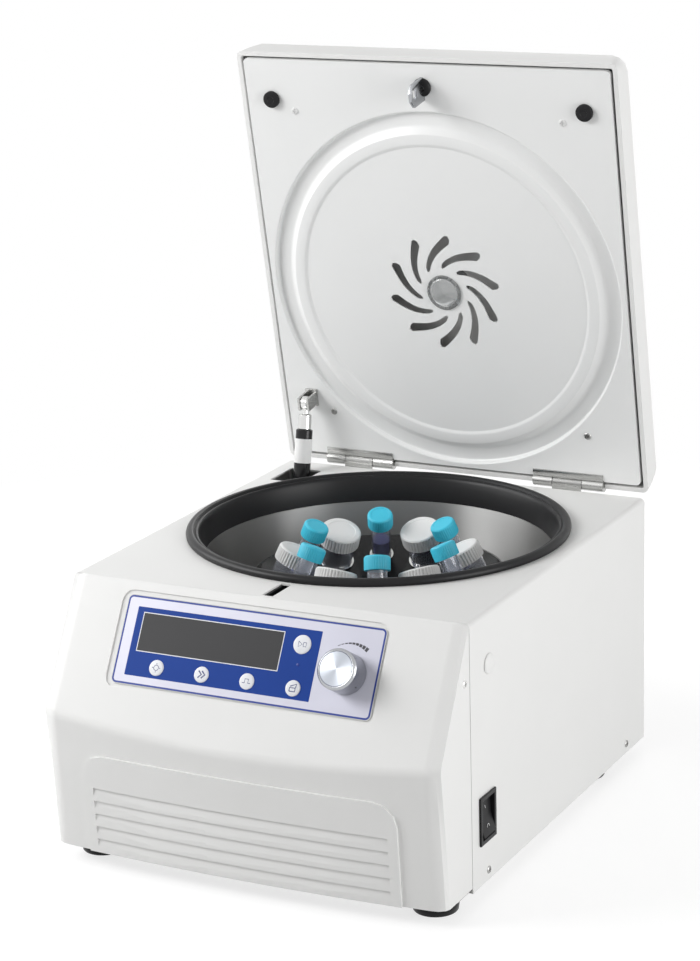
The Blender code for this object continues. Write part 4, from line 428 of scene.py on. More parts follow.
def drawn(name, lines, closed, **values):
    # Straight strokes or closed outlines, as a mesh
    curve = bpy.data.curves.new(name, "CURVE")
    for key, value in values.items():
        setattr(curve, key, value)
    for line in lines:
        spline = curve.splines.new("POLY")
        spline.points.add(len(line) - 1)
        spline.use_cyclic_u = closed
        for point, spot in zip(spline.points, line):
            point.co = (spot[0], spot[1], 0, 1)
    alone(placed(name, curve))
    bpy.ops.object.convert(target="MESH")
    return bpy.context.object


def flatShape(name, outline, thick):
    return drawn(name, [outline], True, dimensions="2D", fill_mode="BOTH", extrude=thick)


def wire(name, lines, width, flat):
    # Strokes of round wire, flattened: the marks on keys, knob and switch
    piece = drawn(name, lines, False, dimensions="3D", bevel_depth=width / 2, bevel_resolution=1,
                  use_fill_caps=True)
    piece.scale = (1, 1, flat)
    applyPlace()
    return piece


def ringPoints(radius, start=0, end=360, steps=24, centre=(0, 0)):
    return [(centre[0] + radius * math.cos(math.radians(start + (end - start) * n / steps)),
             centre[1] + radius * math.sin(math.radians(start + (end - start) * n / steps)))
            for n in range(steps + 1)]


# Case, cover and lid: the CAD's shapes with softened edges

shells = {
    "case_shell": ("caseSkin", "casePaint", "case", "case_paint", 0.0005),
    "rear_panel": ("rearSkin", "casePaint", "case", "case_paint", 0.0004),
    "front_cover": ("coverSkin", "moulding", "case", "cover_moulding", 0.0007),
    "lid_shell": ("lidSkin", "moulding", "lid", "cover_moulding", 0.0007),
    "release_plug": ("plugSkin", "moulding", "release_plug", "key_white", 0.0004),
    "switch_body": ("switchFrame", "blackPlastic", "case", "black_plastic", 0.0004),
    "switch_rocker": ("rockerSkin", "rockerPlastic", "switch_rocker", "black_plastic", 0.0005),
    "power_inlet": ("inletSkin", "blackPlastic", "case", "black_plastic", 0.0004),
    "strut_bracket": ("strutFork", "platedSteel", "lid", "plated_steel", 0.0004),
    "lid_leaf_left": ("lidLeafLeft", "platedSteel", "lid", "plated_steel", 0.0002),
    "lid_leaf_right": ("lidLeafRight", "platedSteel", "lid", "plated_steel", 0.0002),
    "case_leaf_left": ("caseLeafLeft", "platedSteel", "case", "plated_steel", 0.0002),
    "case_leaf_right": ("caseLeafRight", "platedSteel", "case", "plated_steel", 0.0002),
    "base_plate": ("basePan", "platedSteel", "case", "plated_steel", 0.0002),
}
cuts = {
    "front_cover": [((-0.3, -0.3, 0), (0.3, -0.1, 0.0142))],  # the cover ends above the feet
    "base_plate": [((-0.3, -0.3, 0), (0.3, -0.198, 0.0142))],
    "case_shell": [((-0.0058, -0.1625, 0.215), (0.0038, -0.1308, 0.24))],  # the latch slot at its full width
}
for node, (name, look, body, slot, edge) in shells.items():
    dress(cadCopy(node, name, edge, cuts.get(node, ())), look, body, slot, node)
print("shells dressed:", len(shells))

# Chamber: gasket and bowl

gasketLook = dict(steps=144, neck=0.1518, reach=0.1601, sheetTop=0.2174, crown=0.2234,
                  lip=0.1485, foot=0.1995, inner=0.1453)


def makeGasket(g):
    # Outer bead, a fine groove, then the tall inner wall that leans over the bowl
    bead = 0.0042
    middle = (g["reach"] - bead, g["crown"] - bead)
    rings = [(g["neck"] + 0.006, g["sheetTop"]), (g["neck"], g["sheetTop"]), (g["neck"], 0.2150),
             (g["lip"], g["foot"]), (g["inner"], g["foot"])]
    rings += [(0.1461, 0.2060), (0.1474, 0.2130), (0.1486, 0.2178)]
    rings += [(0.1492, 0.2194), (0.1499, 0.2206), (0.1509, 0.2212), (0.1517, 0.2213), (0.1523, 0.2208)]
    rings += [(0.1529, 0.2212)]
    rings += arc(middle, bead, 125, -25, 9)
    rings += [(g["reach"] - 0.0016, g["sheetTop"])]
    piece = ringStack("gasketRing", rings, g["steps"], closed=True)
    dress(smooth(settle(piece, chamberFrame), 60), "blackRubber", "case", "rubber", "chamber_gasket")


makeGasket(gasketLook)

bowlLook = dict(steps=144, top=0.1992, radius=0.145, flange=0.0105, bend=0.026, floor=0.065,
                hole=0.030, sheet=0.001)


def makeBowl(b):
    r = b["radius"]
    t = b["sheet"]
    inside = [(r, b["top"])] + arc((r - b["bend"], b["floor"] + b["bend"]), b["bend"], 0, -90, 10)
    inside += [(b["hole"] + 0.014, b["floor"]), (b["hole"] + 0.012, b["floor"] + 0.0015),
               (b["hole"], b["floor"] + 0.0015)]
    outside = [(b["hole"], b["floor"] - t), (r - b["bend"], b["floor"] - t)]
    outside += arc((r - b["bend"], b["floor"] + b["bend"]), b["bend"] + t, -80, 0, 8)
    outside += [(r + t, b["top"] - t), (r + b["flange"], b["top"] - t), (r + b["flange"], b["top"])]
    piece = ringStack("bowlSpun", inside + outside, b["steps"], closed=True)
    dress(smooth(settle(piece, chamberFrame), 50), "bowlSteel", "case", "bowl_steel", "chamber_bowl")


makeBowl(bowlLook)
print("chamber made")

# Rotor, collars, tubes and caps

tubeKinds = {
    "50ml": dict(cap=0.01725, capHeight=0.013, tube=0.0145, length=0.115, centre=(0.069, 0.1932),
             half=0.5, ribs=40, ribDepth=0.955, look="whiteCap", slot="cap_white", face=-0.02636,
             sample=0.0),
    "15ml": dict(cap=0.0109, capHeight=0.0125, tube=0.0084, length=0.120, centre=(0.0631, 0.2062),
             half=0.0, ribs=36, ribDepth=0.962, look="turquoiseCap", slot="cap_turquoise",
             face=-0.04064, sample=0.55),
}
tubeTilt = -25.0


def tubePlace(kind, n):
    k = tubeKinds[kind]
    around = spun(60 * (n + k["half"]), "Z")
    return rotorFrame @ around @ move(k["centre"][0], 0, k["centre"][1]) \
        @ spun(tubeTilt, "Y")


def makeCap(kind):
    # Ribbed skirt, plain chamfer, flat top with a shallow dish
    k = tubeKinds[kind]
    half = k["capHeight"] / 2
    steps = k["ribs"] * 4
    r = k["cap"]
    rings = [(k["tube"] - 0.0004, -half + 0.001), (r - 0.0022, -half), (r - 0.0003, -half + 0.0004),
             (r, -half + 0.0012), (r, half - 0.0022), (r - 0.0003, half - 0.0012), (r - 0.0012, half - 0.0002),
             (r - 0.0022, half), (r * 0.72, half), (r * 0.70, half - 0.0003), (r * 0.1, half - 0.0003)]
    piece = ringStack("cap" + kind, rings, steps)
    for vertex in piece.data.vertices:
        spot = vertex.co
        onSkirt = math.hypot(spot.x, spot.y) > r - 0.0002 and -half + 0.0009 < spot.z < half - 0.0018
        turn = round(math.atan2(spot.y, spot.x) / (2 * math.pi) * steps) % 4
        if onSkirt and turn in (0, 1):
            spot.x *= k["ribDepth"]
            spot.y *= k["ribDepth"]
    piece.data.update()
    outward(piece)
    return smooth(piece, 32)


def makeTube(kind):
    # Clear wall with a conical end, open at the top under the cap
    k = tubeKinds[kind]
    top = k["capHeight"] / 2 - 0.002
    tip = k["capHeight"] / 2 - k["length"]
    cone = tip + k["length"] * 0.16
    wall = 0.0009
    r = k["tube"]
    rings = [(r - wall, top), (r, top), (r, cone), (r * 0.3, tip), (r * 0.05, tip),
             (r * 0.05, tip + 0.002), (r * 0.3 - wall * 0.4, tip + 0.002), (r - wall, cone + 0.001)]
    return smooth(ringStack("tube" + kind, rings, 40, closed=True), 40)


def makeSample(kind):
    k = tubeKinds[kind]
    top = k["face"] + (-k["capHeight"] / 2 - k["face"]) * k["sample"]
    tip = k["capHeight"] / 2 - k["length"] + 0.003
    cone = tip + k["length"] * 0.16
    r = k["tube"] - 0.00105
    rings = [(r * 0.1, top), (r, top), (r, cone), (r * 0.3, tip + 0.001), (r * 0.1, tip + 0.001)]
    return smooth(ringStack("sample" + kind, rings, 32), 40)


def makeCollar(kind):
    # Thin metal sleeve that stands proud of its bore
    k = tubeKinds[kind]
    inner = k["tube"] + 0.0002
    outer = k["tube"] + 0.0010
    low = k["face"] - 0.004
    high = k["face"] + 0.0016
    rings = [(inner, low), (outer, low), (outer, high - 0.0008), (outer + 0.0008, high - 0.0006),
             (outer + 0.0008, high), (inner, high)]
    return smooth(ringStack("collar" + kind, rings, 48, closed=True), 40)


for kind, k in tubeKinds.items():
    cap = makeCap(kind)
    tube = makeTube(kind)
    collar = makeCollar(kind)
    sample = makeSample(kind) if k["sample"] else None
    collars = []
    for n in range(6):
        spot = tubePlace(kind, n)
        node = f"tube_{kind}_{n + 1}"
        oneCap = settle(twin(cap, f"cap{kind}_{n + 1}"), spot)
        dress(oneCap, k["look"], "rotor", k["slot"], node)
        oneTube = settle(twin(tube, f"wall{kind}_{n + 1}"), spot)
        dress(oneTube, "tubeClear", "rotor", "window_clear", node)
        collars.append(settle(twin(collar, f"sleeve{kind}_{n + 1}"), spot))
        if sample:
            oneSample = settle(twin(sample, f"sample{kind}_{n + 1}"), spot)
            dress(oneSample, "tubeSample", "rotor", "window_clear")
    dress(joined("collars" + kind, collars), "brightSteel", "rotor", "bowl_steel")
    for master in filter(None, (cap, tube, collar, sample)):
        bpy.data.objects.remove(master)

rotorLook = dict(steps=96, rim=0.1055, rimZ=0.1806, edge=0.0018, land=0.005, hub=0.036, hubZ=0.150,
                 skirt=0.131, skirtZ=0.112, skirtLow=0.099, base=0.0865, bore=0.0083,
                 room=0.0012)


def makeRotor(p):
    # Turned body with a dished face, then the twelve leaning bores
    rimIn = p["rim"] - p["land"]
    rimZ = p["rimZ"] - p["edge"]
    wellZ = rimZ - (rimIn - p["hub"]) * math.tan(math.radians(-tubeTilt))
    heel = p["skirtLow"] - p["base"]
    rings = [(p["rim"] - p["edge"], p["rimZ"]), (p["rim"] - 0.0005, p["rimZ"] - 0.0005),
             (p["rim"], p["rimZ"] - p["edge"]), (p["skirt"], p["skirtZ"]), (p["skirt"], p["skirtLow"]),
             (p["skirt"] - heel, p["base"]), (p["bore"], p["base"]), (p["bore"], p["hubZ"]),
             (p["hub"] - p["edge"], p["hubZ"]), (p["hub"], wellZ), (rimIn, rimZ),
             (rimIn + p["edge"], p["rimZ"])]
    body = ringStack("rotorTurned", rings, p["steps"], closed=True)
    settle(body, rotorFrame)
    for kind, k in tubeKinds.items():
        lift = move(0, 0, (k["capHeight"] - k["length"]) / 2)
        for n in range(6):
            bpy.ops.mesh.primitive_cylinder_add(vertices=40, radius=k["tube"] + p["room"], depth=k["length"])
            carve(body, settle(bpy.context.object, tubePlace(kind, n) @ lift))
    dress(smooth(body, 30), "rotorBlack", "rotor", "rotor_black", "rotor_body")


makeRotor(rotorLook)
nutRings = [(0.0053, 0.1503), (0.0135, 0.1503), (0.0135, 0.1638), (0.0131, 0.1648), (0.012, 0.1653),
            (0.0053, 0.1653)]
nut = settle(smooth(ringStack("nutTurned", nutRings, 64, closed=True), 35), rotorFrame)
dress(nut, "brightSteel", "rotor", "nut_aluminium", "rotor_nut")
print("rotor and tubes made")

# Lid: liner with its dish and swirl vents, window, bumpers, striker, screws

linerLook = dict(half=0.1672, front=0.3748, back=0.0047, corner=0.004, flange=0.0045, sheet=0.001,
                 dishV=0.1713, disc=0.1305, floor=-0.0012, steps=144, proud=-0.0008, deep=0.0046,
                 glass=0.0128)
hingeLook = dict(near=0.068, far=0.1335, low=(-0.0112, -0.0026), high=(-0.0048, -0.0010))
swirlLook = dict(count=10, inner=0.0224, outer=0.0512, start=-8.0, turn=-47.0, power=1.3, slant=-125.0,
                 wide=0.0088, narrow=0.0040, steps=12)


def swirlCutter(s, index, depth):
    # One curved slot: wide and round outside, narrow inside
    start = math.radians(s["start"]) + 2 * math.pi * index / s["count"]
    left = []
    right = []
    for n in range(s["steps"] + 1):
        share = n / s["steps"]
        radius = s["outer"] - (s["outer"] - s["inner"]) * share
        angle = start + math.radians(s["turn"]) * share ** s["power"]
        belly = min(1, math.sqrt(share / 0.10 + 0.16), math.sqrt((1 - share) / 0.06 + 0.20))
        half = (s["wide"] + (s["narrow"] - s["wide"]) * share) * belly / 2
        across = angle + math.radians(s["slant"])
        middle = Vector((radius * math.cos(angle), radius * math.sin(angle), 0))
        side = Vector((-math.sin(across), math.cos(across), 0)) * half
        left.append(middle + side)
        right.append(middle - side)
    piece = flatShape("swirl", left + right[::-1], depth)
    editAll(piece)
    bpy.ops.mesh.remove_doubles(threshold=0.000005)
    bpy.ops.mesh.normals_make_consistent(inside=False)
    leaveEdit()
    return piece


def selectRim(wires=False):
    # Only the edges of holes, and loose edges too where asked
    bpy.ops.mesh.select_all(action="DESELECT")
    bpy.ops.mesh.select_non_manifold(extend=False, use_wire=wires, use_multi_face=False,
                                     use_non_contiguous=False, use_verts=False)


def makeLiner(p, s):
    # Across the dish: flat disc, a bead that stands proud, a slope, the sunken band and a crisp edge
    floor = p["floor"]
    proud = p["proud"]
    deep = p["deep"]
    shape = [(p["disc"], 0.0005), (0.1311, 0.0005), (0.1319, 0.0002), (0.1332, proud * 0.7), (0.1346, proud),
             (0.1410, proud), (0.1426, proud * 0.7), (0.1440, 0.0004), (0.1472, deep * 0.68),
             (0.1488, deep * 0.90), (0.1504, deep), (0.1604, deep), (0.1613, deep * 0.86),
             (0.1621, 0.0006), (0.1630, 0.0)]
    profile = [(radius, floor + up) for radius, up in shape]
    # The dish, ring by ring from its disc outwards
    bpy.ops.mesh.primitive_circle_add(vertices=p["steps"], radius=profile[0][0], fill_type="NGON")
    dish = bpy.context.object
    bpy.ops.object.mode_set(mode="EDIT")
    selectAll()
    bpy.ops.transform.translate(value=(0, 0, profile[0][1]))
    bpy.ops.mesh.select_mode(type="EDGE")
    for now, then in zip(profile, profile[1:]):
        selectRim()
        raiseRing(now, then)
    bpy.ops.mesh.select_mode(type="VERT")
    leaveEdit()
    # The rectangular edge, with its corners rounded
    low = (-p["half"], p["dishV"] - p["front"])
    high = (p["half"], p["dishV"] - p["back"])
    border = rectangle("border", low, high, floor, p["corner"], 6)
    bpy.ops.mesh.delete(type="ONLY_FACE")
    leaveEdit()
    piece = joined("linerPressed", [dish, border])
    editAll(piece)
    bpy.ops.mesh.select_mode(type="EDGE")
    selectRim(wires=True)
    bpy.ops.mesh.bridge_edge_loops()
    selectRim()
    bpy.ops.mesh.extrude_edges_move(TRANSFORM_OT_translate={"value": (0, 0, p["flange"])})
    bpy.ops.mesh.select_mode(type="VERT")
    leaveEdit()
    outward(piece)
    modify(piece, "SOLIDIFY", thickness=p["sheet"], offset=-1)
    for index in range(s["count"]):
        carve(piece, settle(swirlCutter(s, index, 4 * p["sheet"]), move(0, 0, floor + 0.0008)))
    bpy.ops.mesh.primitive_cylinder_add(vertices=48, radius=p["glass"], depth=0.02)
    carve(piece, bpy.context.object)
    settle(piece, move(0, -p["dishV"], 0))
    for side in (-1, 1):
        ends = sorted((side * hingeLook["near"], side * hingeLook["far"]))
        carve(piece, block("notch", (ends[0] - 0.0003, -0.0058, -0.0055), (ends[1] + 0.0003, 0.0065, 0.0085)))
    dress(smooth(settle(piece, lidFrame), 25), "linerPlastic", "lid", "liner", "lid_liner")


makeLiner(linerLook, swirlLook)
print("liner made")

windowLook = dict(radius=0.0158, body=0.0125, top=0.0285, low=-0.0007, dome=0.0021, steps=64)


def makeWindow(w):
    # Sight glass: a plug through the lid with a stepped rim and a domed face
    r = w["radius"]
    low = w["low"]
    lens = low - 0.0013
    rings = [(0.0002, w["top"]), (w["body"], w["top"]), (w["body"], low), (r * 0.96, low), (r, low - 0.0004),
             (r, low - 0.0011), (r * 0.93, low - 0.0016), (r * 0.86, lens)]
    rings += [(r * 0.82 * math.cos(math.radians(a)), lens - w["dome"] * math.sin(math.radians(a)))
              for a in (0, 15, 30, 45, 60, 75, 88)]
    piece = smooth(ringStack("sightGlass", rings, w["steps"]), 30)
    settle(piece, lidFrame @ move(0, -linerLook["dishV"], 0))
    dress(piece, "lensClear", "lid", "window_clear", "lid_window")


makeWindow(windowLook)

bumperRings = [(0.0004, -0.0015), (0.00725, -0.0015), (0.00725, -0.0040), (0.0070, -0.0046), (0.0062, -0.0049),
               (0.0032, -0.0049), (0.0028, -0.0044), (0.0004, -0.0044)]
bumper = smooth(ringStack("bumper", bumperRings, 48), 40)
bumperX, bumperV = 0.1435, 0.3395
for side, label in ((-1, "left"), (1, "right")):
    one = settle(twin(bumper, "bumper_" + label), lidFrame @ move(side * bumperX, -bumperV, 0))
    dress(one, "blackRubber", "lid", "rubber", "lid_bumper_" + label)
bpy.data.objects.remove(bumper)

strikerLook = dict(near=0.3440, far=0.3640, reach=0.0265, sheet=0.0014, root=-0.0011, cut=0.0052,
                   hole=(0.3555, 0.0189), holeHalf=0.0040)


def makeStriker(p):
    # A plate that stands on the liner, its free corners cut off, with a square hole for the lock's bolt
    piece = block("strikerPlate", (-p["sheet"], -p["far"], -p["reach"]), (p["sheet"], -p["near"], p["root"]))
    for v, turn in ((p["far"], -38), (p["near"], 38)):
        corner = block("corner", (-0.01, -0.02, -0.01), (0.01, 0.02, 0))
        spot = move(0, -v, -p["reach"] + p["cut"]) @ spun(turn, "X")
        carve(piece, settle(corner, spot))
    v, down = p["hole"]
    half = p["holeHalf"]
    carve(piece, block("hole", (-0.01, -v - half, -down - half), (0.01, -v + half, -down + half)))
    settle(softEdges(piece, 0.0004), lidFrame)
    dress(smooth(piece, 30), "satinSilver", "lid", "striker_chrome", "latch_striker")


makeStriker(strikerLook)

grommetRings = [(0.0030, -0.0046), (0.0062, -0.0046), (0.0076, -0.0038), (0.0080, -0.0028), (0.0078, -0.0013),
                (0.0030, -0.0013)]
grommet = smooth(ringStack("strikerGrommet", grommetRings, 48, closed=True), 40)
settle(grommet, lidFrame @ move(0, -strikerLook["hole"][0], 0))
dress(grommet, "blackRubber", "lid", "rubber")

screwLook = dict(head=0.0032, rise=0.0010, slot=0.00055, slotReach=0.0019)


def makeScrew(p, name):
    # Pan head, its face along +Z, with a cross recess
    r = p["head"]
    h = p["rise"]
    rings = [(r * 0.05, -0.0006), (r, -0.0006), (r, h * 0.25), (r * 0.93, h * 0.6), (r * 0.78, h * 0.88),
             (r * 0.5, h), (r * 0.05, h)]
    head = ringStack(name, rings, 32)
    for reach in ((p["slotReach"], p["slot"]), (p["slot"], p["slotReach"])):
        carve(head, block("driver", (-reach[0], -reach[1], h * 0.25), (reach[0], reach[1], h * 2)))
    return smooth(head, 30)


def facing(spot, way):
    # A frame at a point whose Z looks along the given way
    return Matrix.Translation(spot) @ Vector(way).to_track_quat("Z", "Y").to_matrix().to_4x4()


caseX, caseY, caseZ = places["case"]
sideX = 0.1722  # the cover's and the case's sides, from the middle
sides = (("Right", 1), ("Left", -1))
screwSpots = {}
for label, side in sides:
    spot = (caseX + side * sideX, caseY - 0.3732, caseZ + 0.173)
    screwSpots["coverScrew" + label] = (spot, (side, 0, 0), "brightSteel", "case")
for label, side in sides:
    for n, y in enumerate((0.3338, 0.0423)):
        spot = (caseX + side * (sideX + 0.0003), caseY - y, caseZ + 0.0083)
        screwSpots[f"sideScrew{label}{n + 1}"] = (spot, (side, 0, 0), "dullSteel", "case")
rearSpots = ((-0.160, 0.012), (0.160, 0.012), (-0.160, 0.150), (0.160, 0.150), (0, 0.012), (0, 0.195))
for n, (x, z) in enumerate(rearSpots):
    screwSpots[f"rearScrew{n + 1}"] = ((caseX + x, caseY, caseZ + z), (0, 1, 0), "dullSteel", "case")
for n, x in enumerate((0.1135, 0.1505)):
    spot = (caseX + x, caseY + 0.0027, caseZ + 0.042)
    screwSpots[f"inletScrew{n + 1}"] = (spot, (0, 1, 0), "dullSteel", "case")
lidDown = lidFrame.to_3x3() @ Vector((0, 0, -1))
for n, (x, v, look) in enumerate(((-0.123, 0.3295, "whiteCap"), (0.123, 0.3295, "whiteCap"),
                                  (-0.122, 0.0473, "dullSteel"), (0.122, 0.0473, "dullSteel"))):
    screwSpots[f"lidScrew{n + 1}"] = (lidFrame @ Vector((x, -v, -0.0012)), lidDown, look, "lid")
screw = makeScrew(screwLook, "screw")
for name, (spot, way, look, body) in screwSpots.items():
    one = settle(twin(screw, name), facing(spot, way))
    dress(one, look, body, "plated_steel")
bpy.data.objects.remove(screw)
print("lid fittings and screws made")

# The lid leaves' turned-out edges, above the knuckles
for side, label in ((-1, "Left"), (1, "Right")):
    ends = sorted((side * hingeLook["near"], side * hingeLook["far"]))
    strip = block("hingeStrip" + label, (ends[0], *hingeLook["low"]), (ends[1], *hingeLook["high"]))
    settle(softEdges(strip, 0.0005), lidFrame)
    dress(smooth(strip, 30), "platedSteel", "lid", "plated_steel")

# Gas strut

strutLook = dict(eye=0.0058, eyeWidth=0.006, pin=0.0025, neck=0.0058, tube=0.0075, neckLow=-0.024,
                 tubeLow=-0.174, rod=0.0039, bandTop=-0.0323, bandLow=-0.0540)


def makeStrut(p):
    half = p["eyeWidth"] / 2
    r = p["eye"]
    eyeRings = [(p["pin"], -half), (r - 0.0005, -half), (r, 0.0005 - half), (r, half - 0.0005),
                (r - 0.0005, half), (p["pin"], half)]
    eye = ringStack("eye", eyeRings, 40, closed=True)
    settle(eye, spun(90, "Y"))
    r = p["neck"]
    low = p["neckLow"]
    stem = ringStack("stem", [(0.0026, -0.0046), (0.0027, -0.0100), (r - 0.0006, -0.0106), (r, -0.0112),
                              (r, low + 0.0006), (r - 0.0006, low)], 40)
    fitting = smooth(settle(joined("strutEnd", [eye, stem]), strutFrame), 35)
    dress(fitting, "brightSteel", "strut_cylinder", "plated_steel")
    r = p["tube"]
    end = p["tubeLow"]
    barrelRings = [(r * 0.75, low + 0.0002), (r - 0.0008, low), (r, low - 0.0008), (r, end + 0.0006),
                   (r - 0.0006, end), (p["rod"], end), (p["rod"], low - 0.004)]
    barrel = ringStack("strutBarrel", barrelRings, 48, closed=True)
    smooth(settle(barrel, strutFrame), 35)
    dress(barrel, "rotorBlack", "strut_cylinder", "black_plastic", "strut_cylinder")
    bandRings = [(r - 0.0003, p["bandTop"]), (r + 0.00015, p["bandTop"]), (r + 0.00015, p["bandLow"]),
                 (r - 0.0003, p["bandLow"])]
    band = ringStack("strutBand", bandRings, 48, closed=True)
    dress(smooth(settle(band, strutFrame), 35), "whiteCap", "strut_cylinder", "key_white")


makeStrut(strutLook)

# Control panel

panelLook = dict(top=-0.0001, field=0.00005, frame=0.00008, glass=0.00011,
                 line=(-0.1166, 0.1087, 0.0111, 0.0815), lineWidth=0.0015, lineCorner=0.004,
                 blue=(-0.1065, 0.056, 0.0195, 0.0744), screen=(-0.100, 0.024, 0.0241, 0.0541), rim=0.0007)


def panelPlate(name, low, high, top, bottom, corner=0.0):
    # A thin printed field on the overlay, in the panel's own frame: x across, s down the face
    piece = rectangle(name, (low[0], -high[1]), (high[0], -low[1]), bottom, corner, 5)
    bpy.ops.mesh.extrude_region_move(TRANSFORM_OT_translate={"value": (0, 0, top - bottom)})
    selectAll()
    bpy.ops.mesh.normals_make_consistent(inside=False)
    leaveEdit()
    return piece


def makePanel(p):
    top = p["top"]
    base = top - 0.0002

    def printed(name, box, inset, rise, look, slot, corner=0.0):
        # One field, its box drawn in by the inset, dressed where it lies
        x0, x1, s0, s1 = box
        piece = panelPlate(name, (x0 + inset, s0 + inset), (x1 - inset, s1 - inset), top + rise, base, corner)
        dress(settle(piece, panelFrame), look, "case", slot)

    x0, x1, s0, s1 = p["line"]
    w = p["lineWidth"]
    corner = p["lineCorner"]
    border = panelPlate("panelBorder", (x0, s0), (x1, s1), top + p["field"], base, corner)
    carve(border, panelPlate("inner", (x0 + w, s0 + w), (x1 - w, s1 - w), 0.002, -0.002, corner - w))
    dress(settle(border, panelFrame), "panelLine", "case", "overlay_blue")
    printed("panelGround", p["line"], w / 2, p["field"] / 2, "panelSilver", "overlay_blue", corner - w / 2)
    printed("panelField", p["blue"], 0, p["field"], "panelBlue", "overlay_blue", 0.0006)
    printed("screenRim", p["screen"], -p["rim"], p["frame"], "panelWhite", "overlay_blue")
    printed("screenFace", p["screen"], 0, p["glass"], "screenGlass", "screen")


makePanel(panelLook)

# Where each key sits on the panel, and its radius
keyLook = dict(start=(0.0411, 0.0316, 0.0075), set=(-0.0792, 0.0658, 0.00635), shift=(-0.039, 0.0658, 0.00635),
               pulse=(0.0009, 0.0658, 0.00635), lid=(0.0408, 0.0658, 0.00635))
# The strokes of each key's mark, and their width
glyphs = {
    "start": ([[(-0.0030, 0.0022), (-0.0030, -0.0022), (0.0002, 0), (-0.0030, 0.0022)],
               [(0.0012, 0.0016), (0.0036, 0.0016), (0.0036, -0.0016), (0.0012, -0.0016), (0.0012, 0.0016)]],
              0.0005),
    "set": ([ringPoints(0.0021, steps=16), [(-0.0036, 0), (-0.0026, 0)], [(0.0026, 0), (0.0036, 0)],
             [(0, 0.0026), (0, 0.0036)], [(0, -0.0026), (0, -0.0036)]], 0.0005),
    "shift": ([[(-0.0026, 0.0028), (0.0002, 0), (-0.0026, -0.0028)],
               [(0.0004, 0.0028), (0.0032, 0), (0.0004, -0.0028)]], 0.0012),
    "pulse": ([[(-0.0036, -0.0014), (-0.0016, -0.0014), (-0.0016, 0.0018), (0.0014, 0.0018), (0.0014, -0.0014),
                (0.0034, -0.0014)]], 0.0006),
    "lid": ([[(-0.0026, -0.0026), (0.0022, -0.0026), (0.0022, 0.0002), (-0.0026, 0.0002), (-0.0026, -0.0026)],
             [(-0.0024, 0.0012), (0.0028, 0.0034), (0.0024, 0.0004)]], 0.0009),
}


def makeKey(name, spot, lines, width):
    # A round key cap with a soft rim, and its mark
    x, s, r = spot
    node = "key_" + name
    crown = 0.0007
    foot = -0.0033
    stem = -0.0042
    rings = [(r * 0.05, crown), (r * 0.86, crown), (r * 0.94, 0.0006), (r * 0.99, 0.0003), (r, -0.0002),
             (r, foot), (r + 0.0009, foot), (r + 0.0009, stem), (0.002, stem), (0.002, -0.0078),
             (0.0001, -0.0078)]
    cap = smooth(ringStack("keyCap_" + name, rings, 48), 35)
    settle(cap, panelFrame @ move(x, -s, 0))
    dress(cap, "panelWhite", node, "key_white", node)
    mark = wire("keyMark_" + name, lines, width, 0.18)
    settle(mark, panelFrame @ move(x, -s, crown))
    dress(smooth(mark, 60), "glyphGrey", node, "key_white")


for name, spot in keyLook.items():
    makeKey(name, spot, *glyphs[name])

knobLook = dict(spot=(0.083, 0.0492), radius=0.0161, low=0.0002, high=0.0207, bore=0.0033,
                tiny=0.0003, grubTurn=-38, grubHeight=0.007)


def makeKnob(k):
    r = k["radius"]
    high = k["high"]
    skirt = r - 0.0022
    rings = [(skirt, k["low"]), (r, k["low"]), (r, high - 0.0018), (r - 0.0002, high - 0.0014),
             (r - 0.0016, high - 0.0002), (r - 0.0020, high), (r - 0.0026, high - 0.0001),
             (r - 0.0030, high - 0.0004),
             (k["bore"] + 0.002, high - 0.0005), (k["tiny"], high - 0.0005), (k["tiny"], high - 0.003),
             (skirt, high - 0.003)]
    spot = panelFrame @ move(k["spot"][0], -k["spot"][1], 0)
    body = smooth(ringStack("knobTurned", rings, 128, closed=True), 25)
    dress(settle(body, spot), "satinSilver", "speed_knob", "knob_satin", "speed_knob")
    low = high - 0.0008
    face = r - 0.0029
    faceRings = [(k["tiny"], high + 0.0001), (face, high + 0.0001), (face, low), (k["tiny"], low)]
    disc = smooth(ringStack("knobDisc", faceRings, 96), 25)
    dress(settle(disc, spot), "knobFace", "speed_knob", "knob_satin")
    # A flush ring between face and rim, coloured dark: painted shade standing in for a groove
    edgeRings = [(r - 0.0032, low), (r - 0.0032, high), (r - 0.0024, high), (r - 0.0024, low)]
    edge = smooth(ringStack("knobGrooveShade", edgeRings, 96, closed=True), 25)
    dress(settle(edge, spot), "knobGrooveShade", "speed_knob", "knob_satin")
    pointer = wire("knobPointer", [[(-0.0116, 0.0034), (-0.0142, 0.0042)]], 0.0007, 0.4)
    settle(pointer, spot @ move(0, 0, high - 0.0003))
    dress(pointer, "knobMark", "speed_knob", "knob_satin")
    turn = math.radians(k["grubTurn"])
    grub = ringStack("knobGrub", [(0.0002, 0.0003), (0.0006, 0.0003), (0.0007, -0.0002), (0.0016, -0.0002),
                                  (0.0016, -0.0006), (0.0002, -0.0006)], 20)
    way = (math.cos(turn), math.sin(turn), 0)
    side = facing((r * way[0], r * way[1], k["grubHeight"]), way)
    dress(settle(grub, spot @ side), "knobMark", "speed_knob", "knob_satin")


makeKnob(knobLook)

dialLook = dict(radius=0.0238, start=121, end=55, marks=9, thin=0.0004, thick=0.0036)


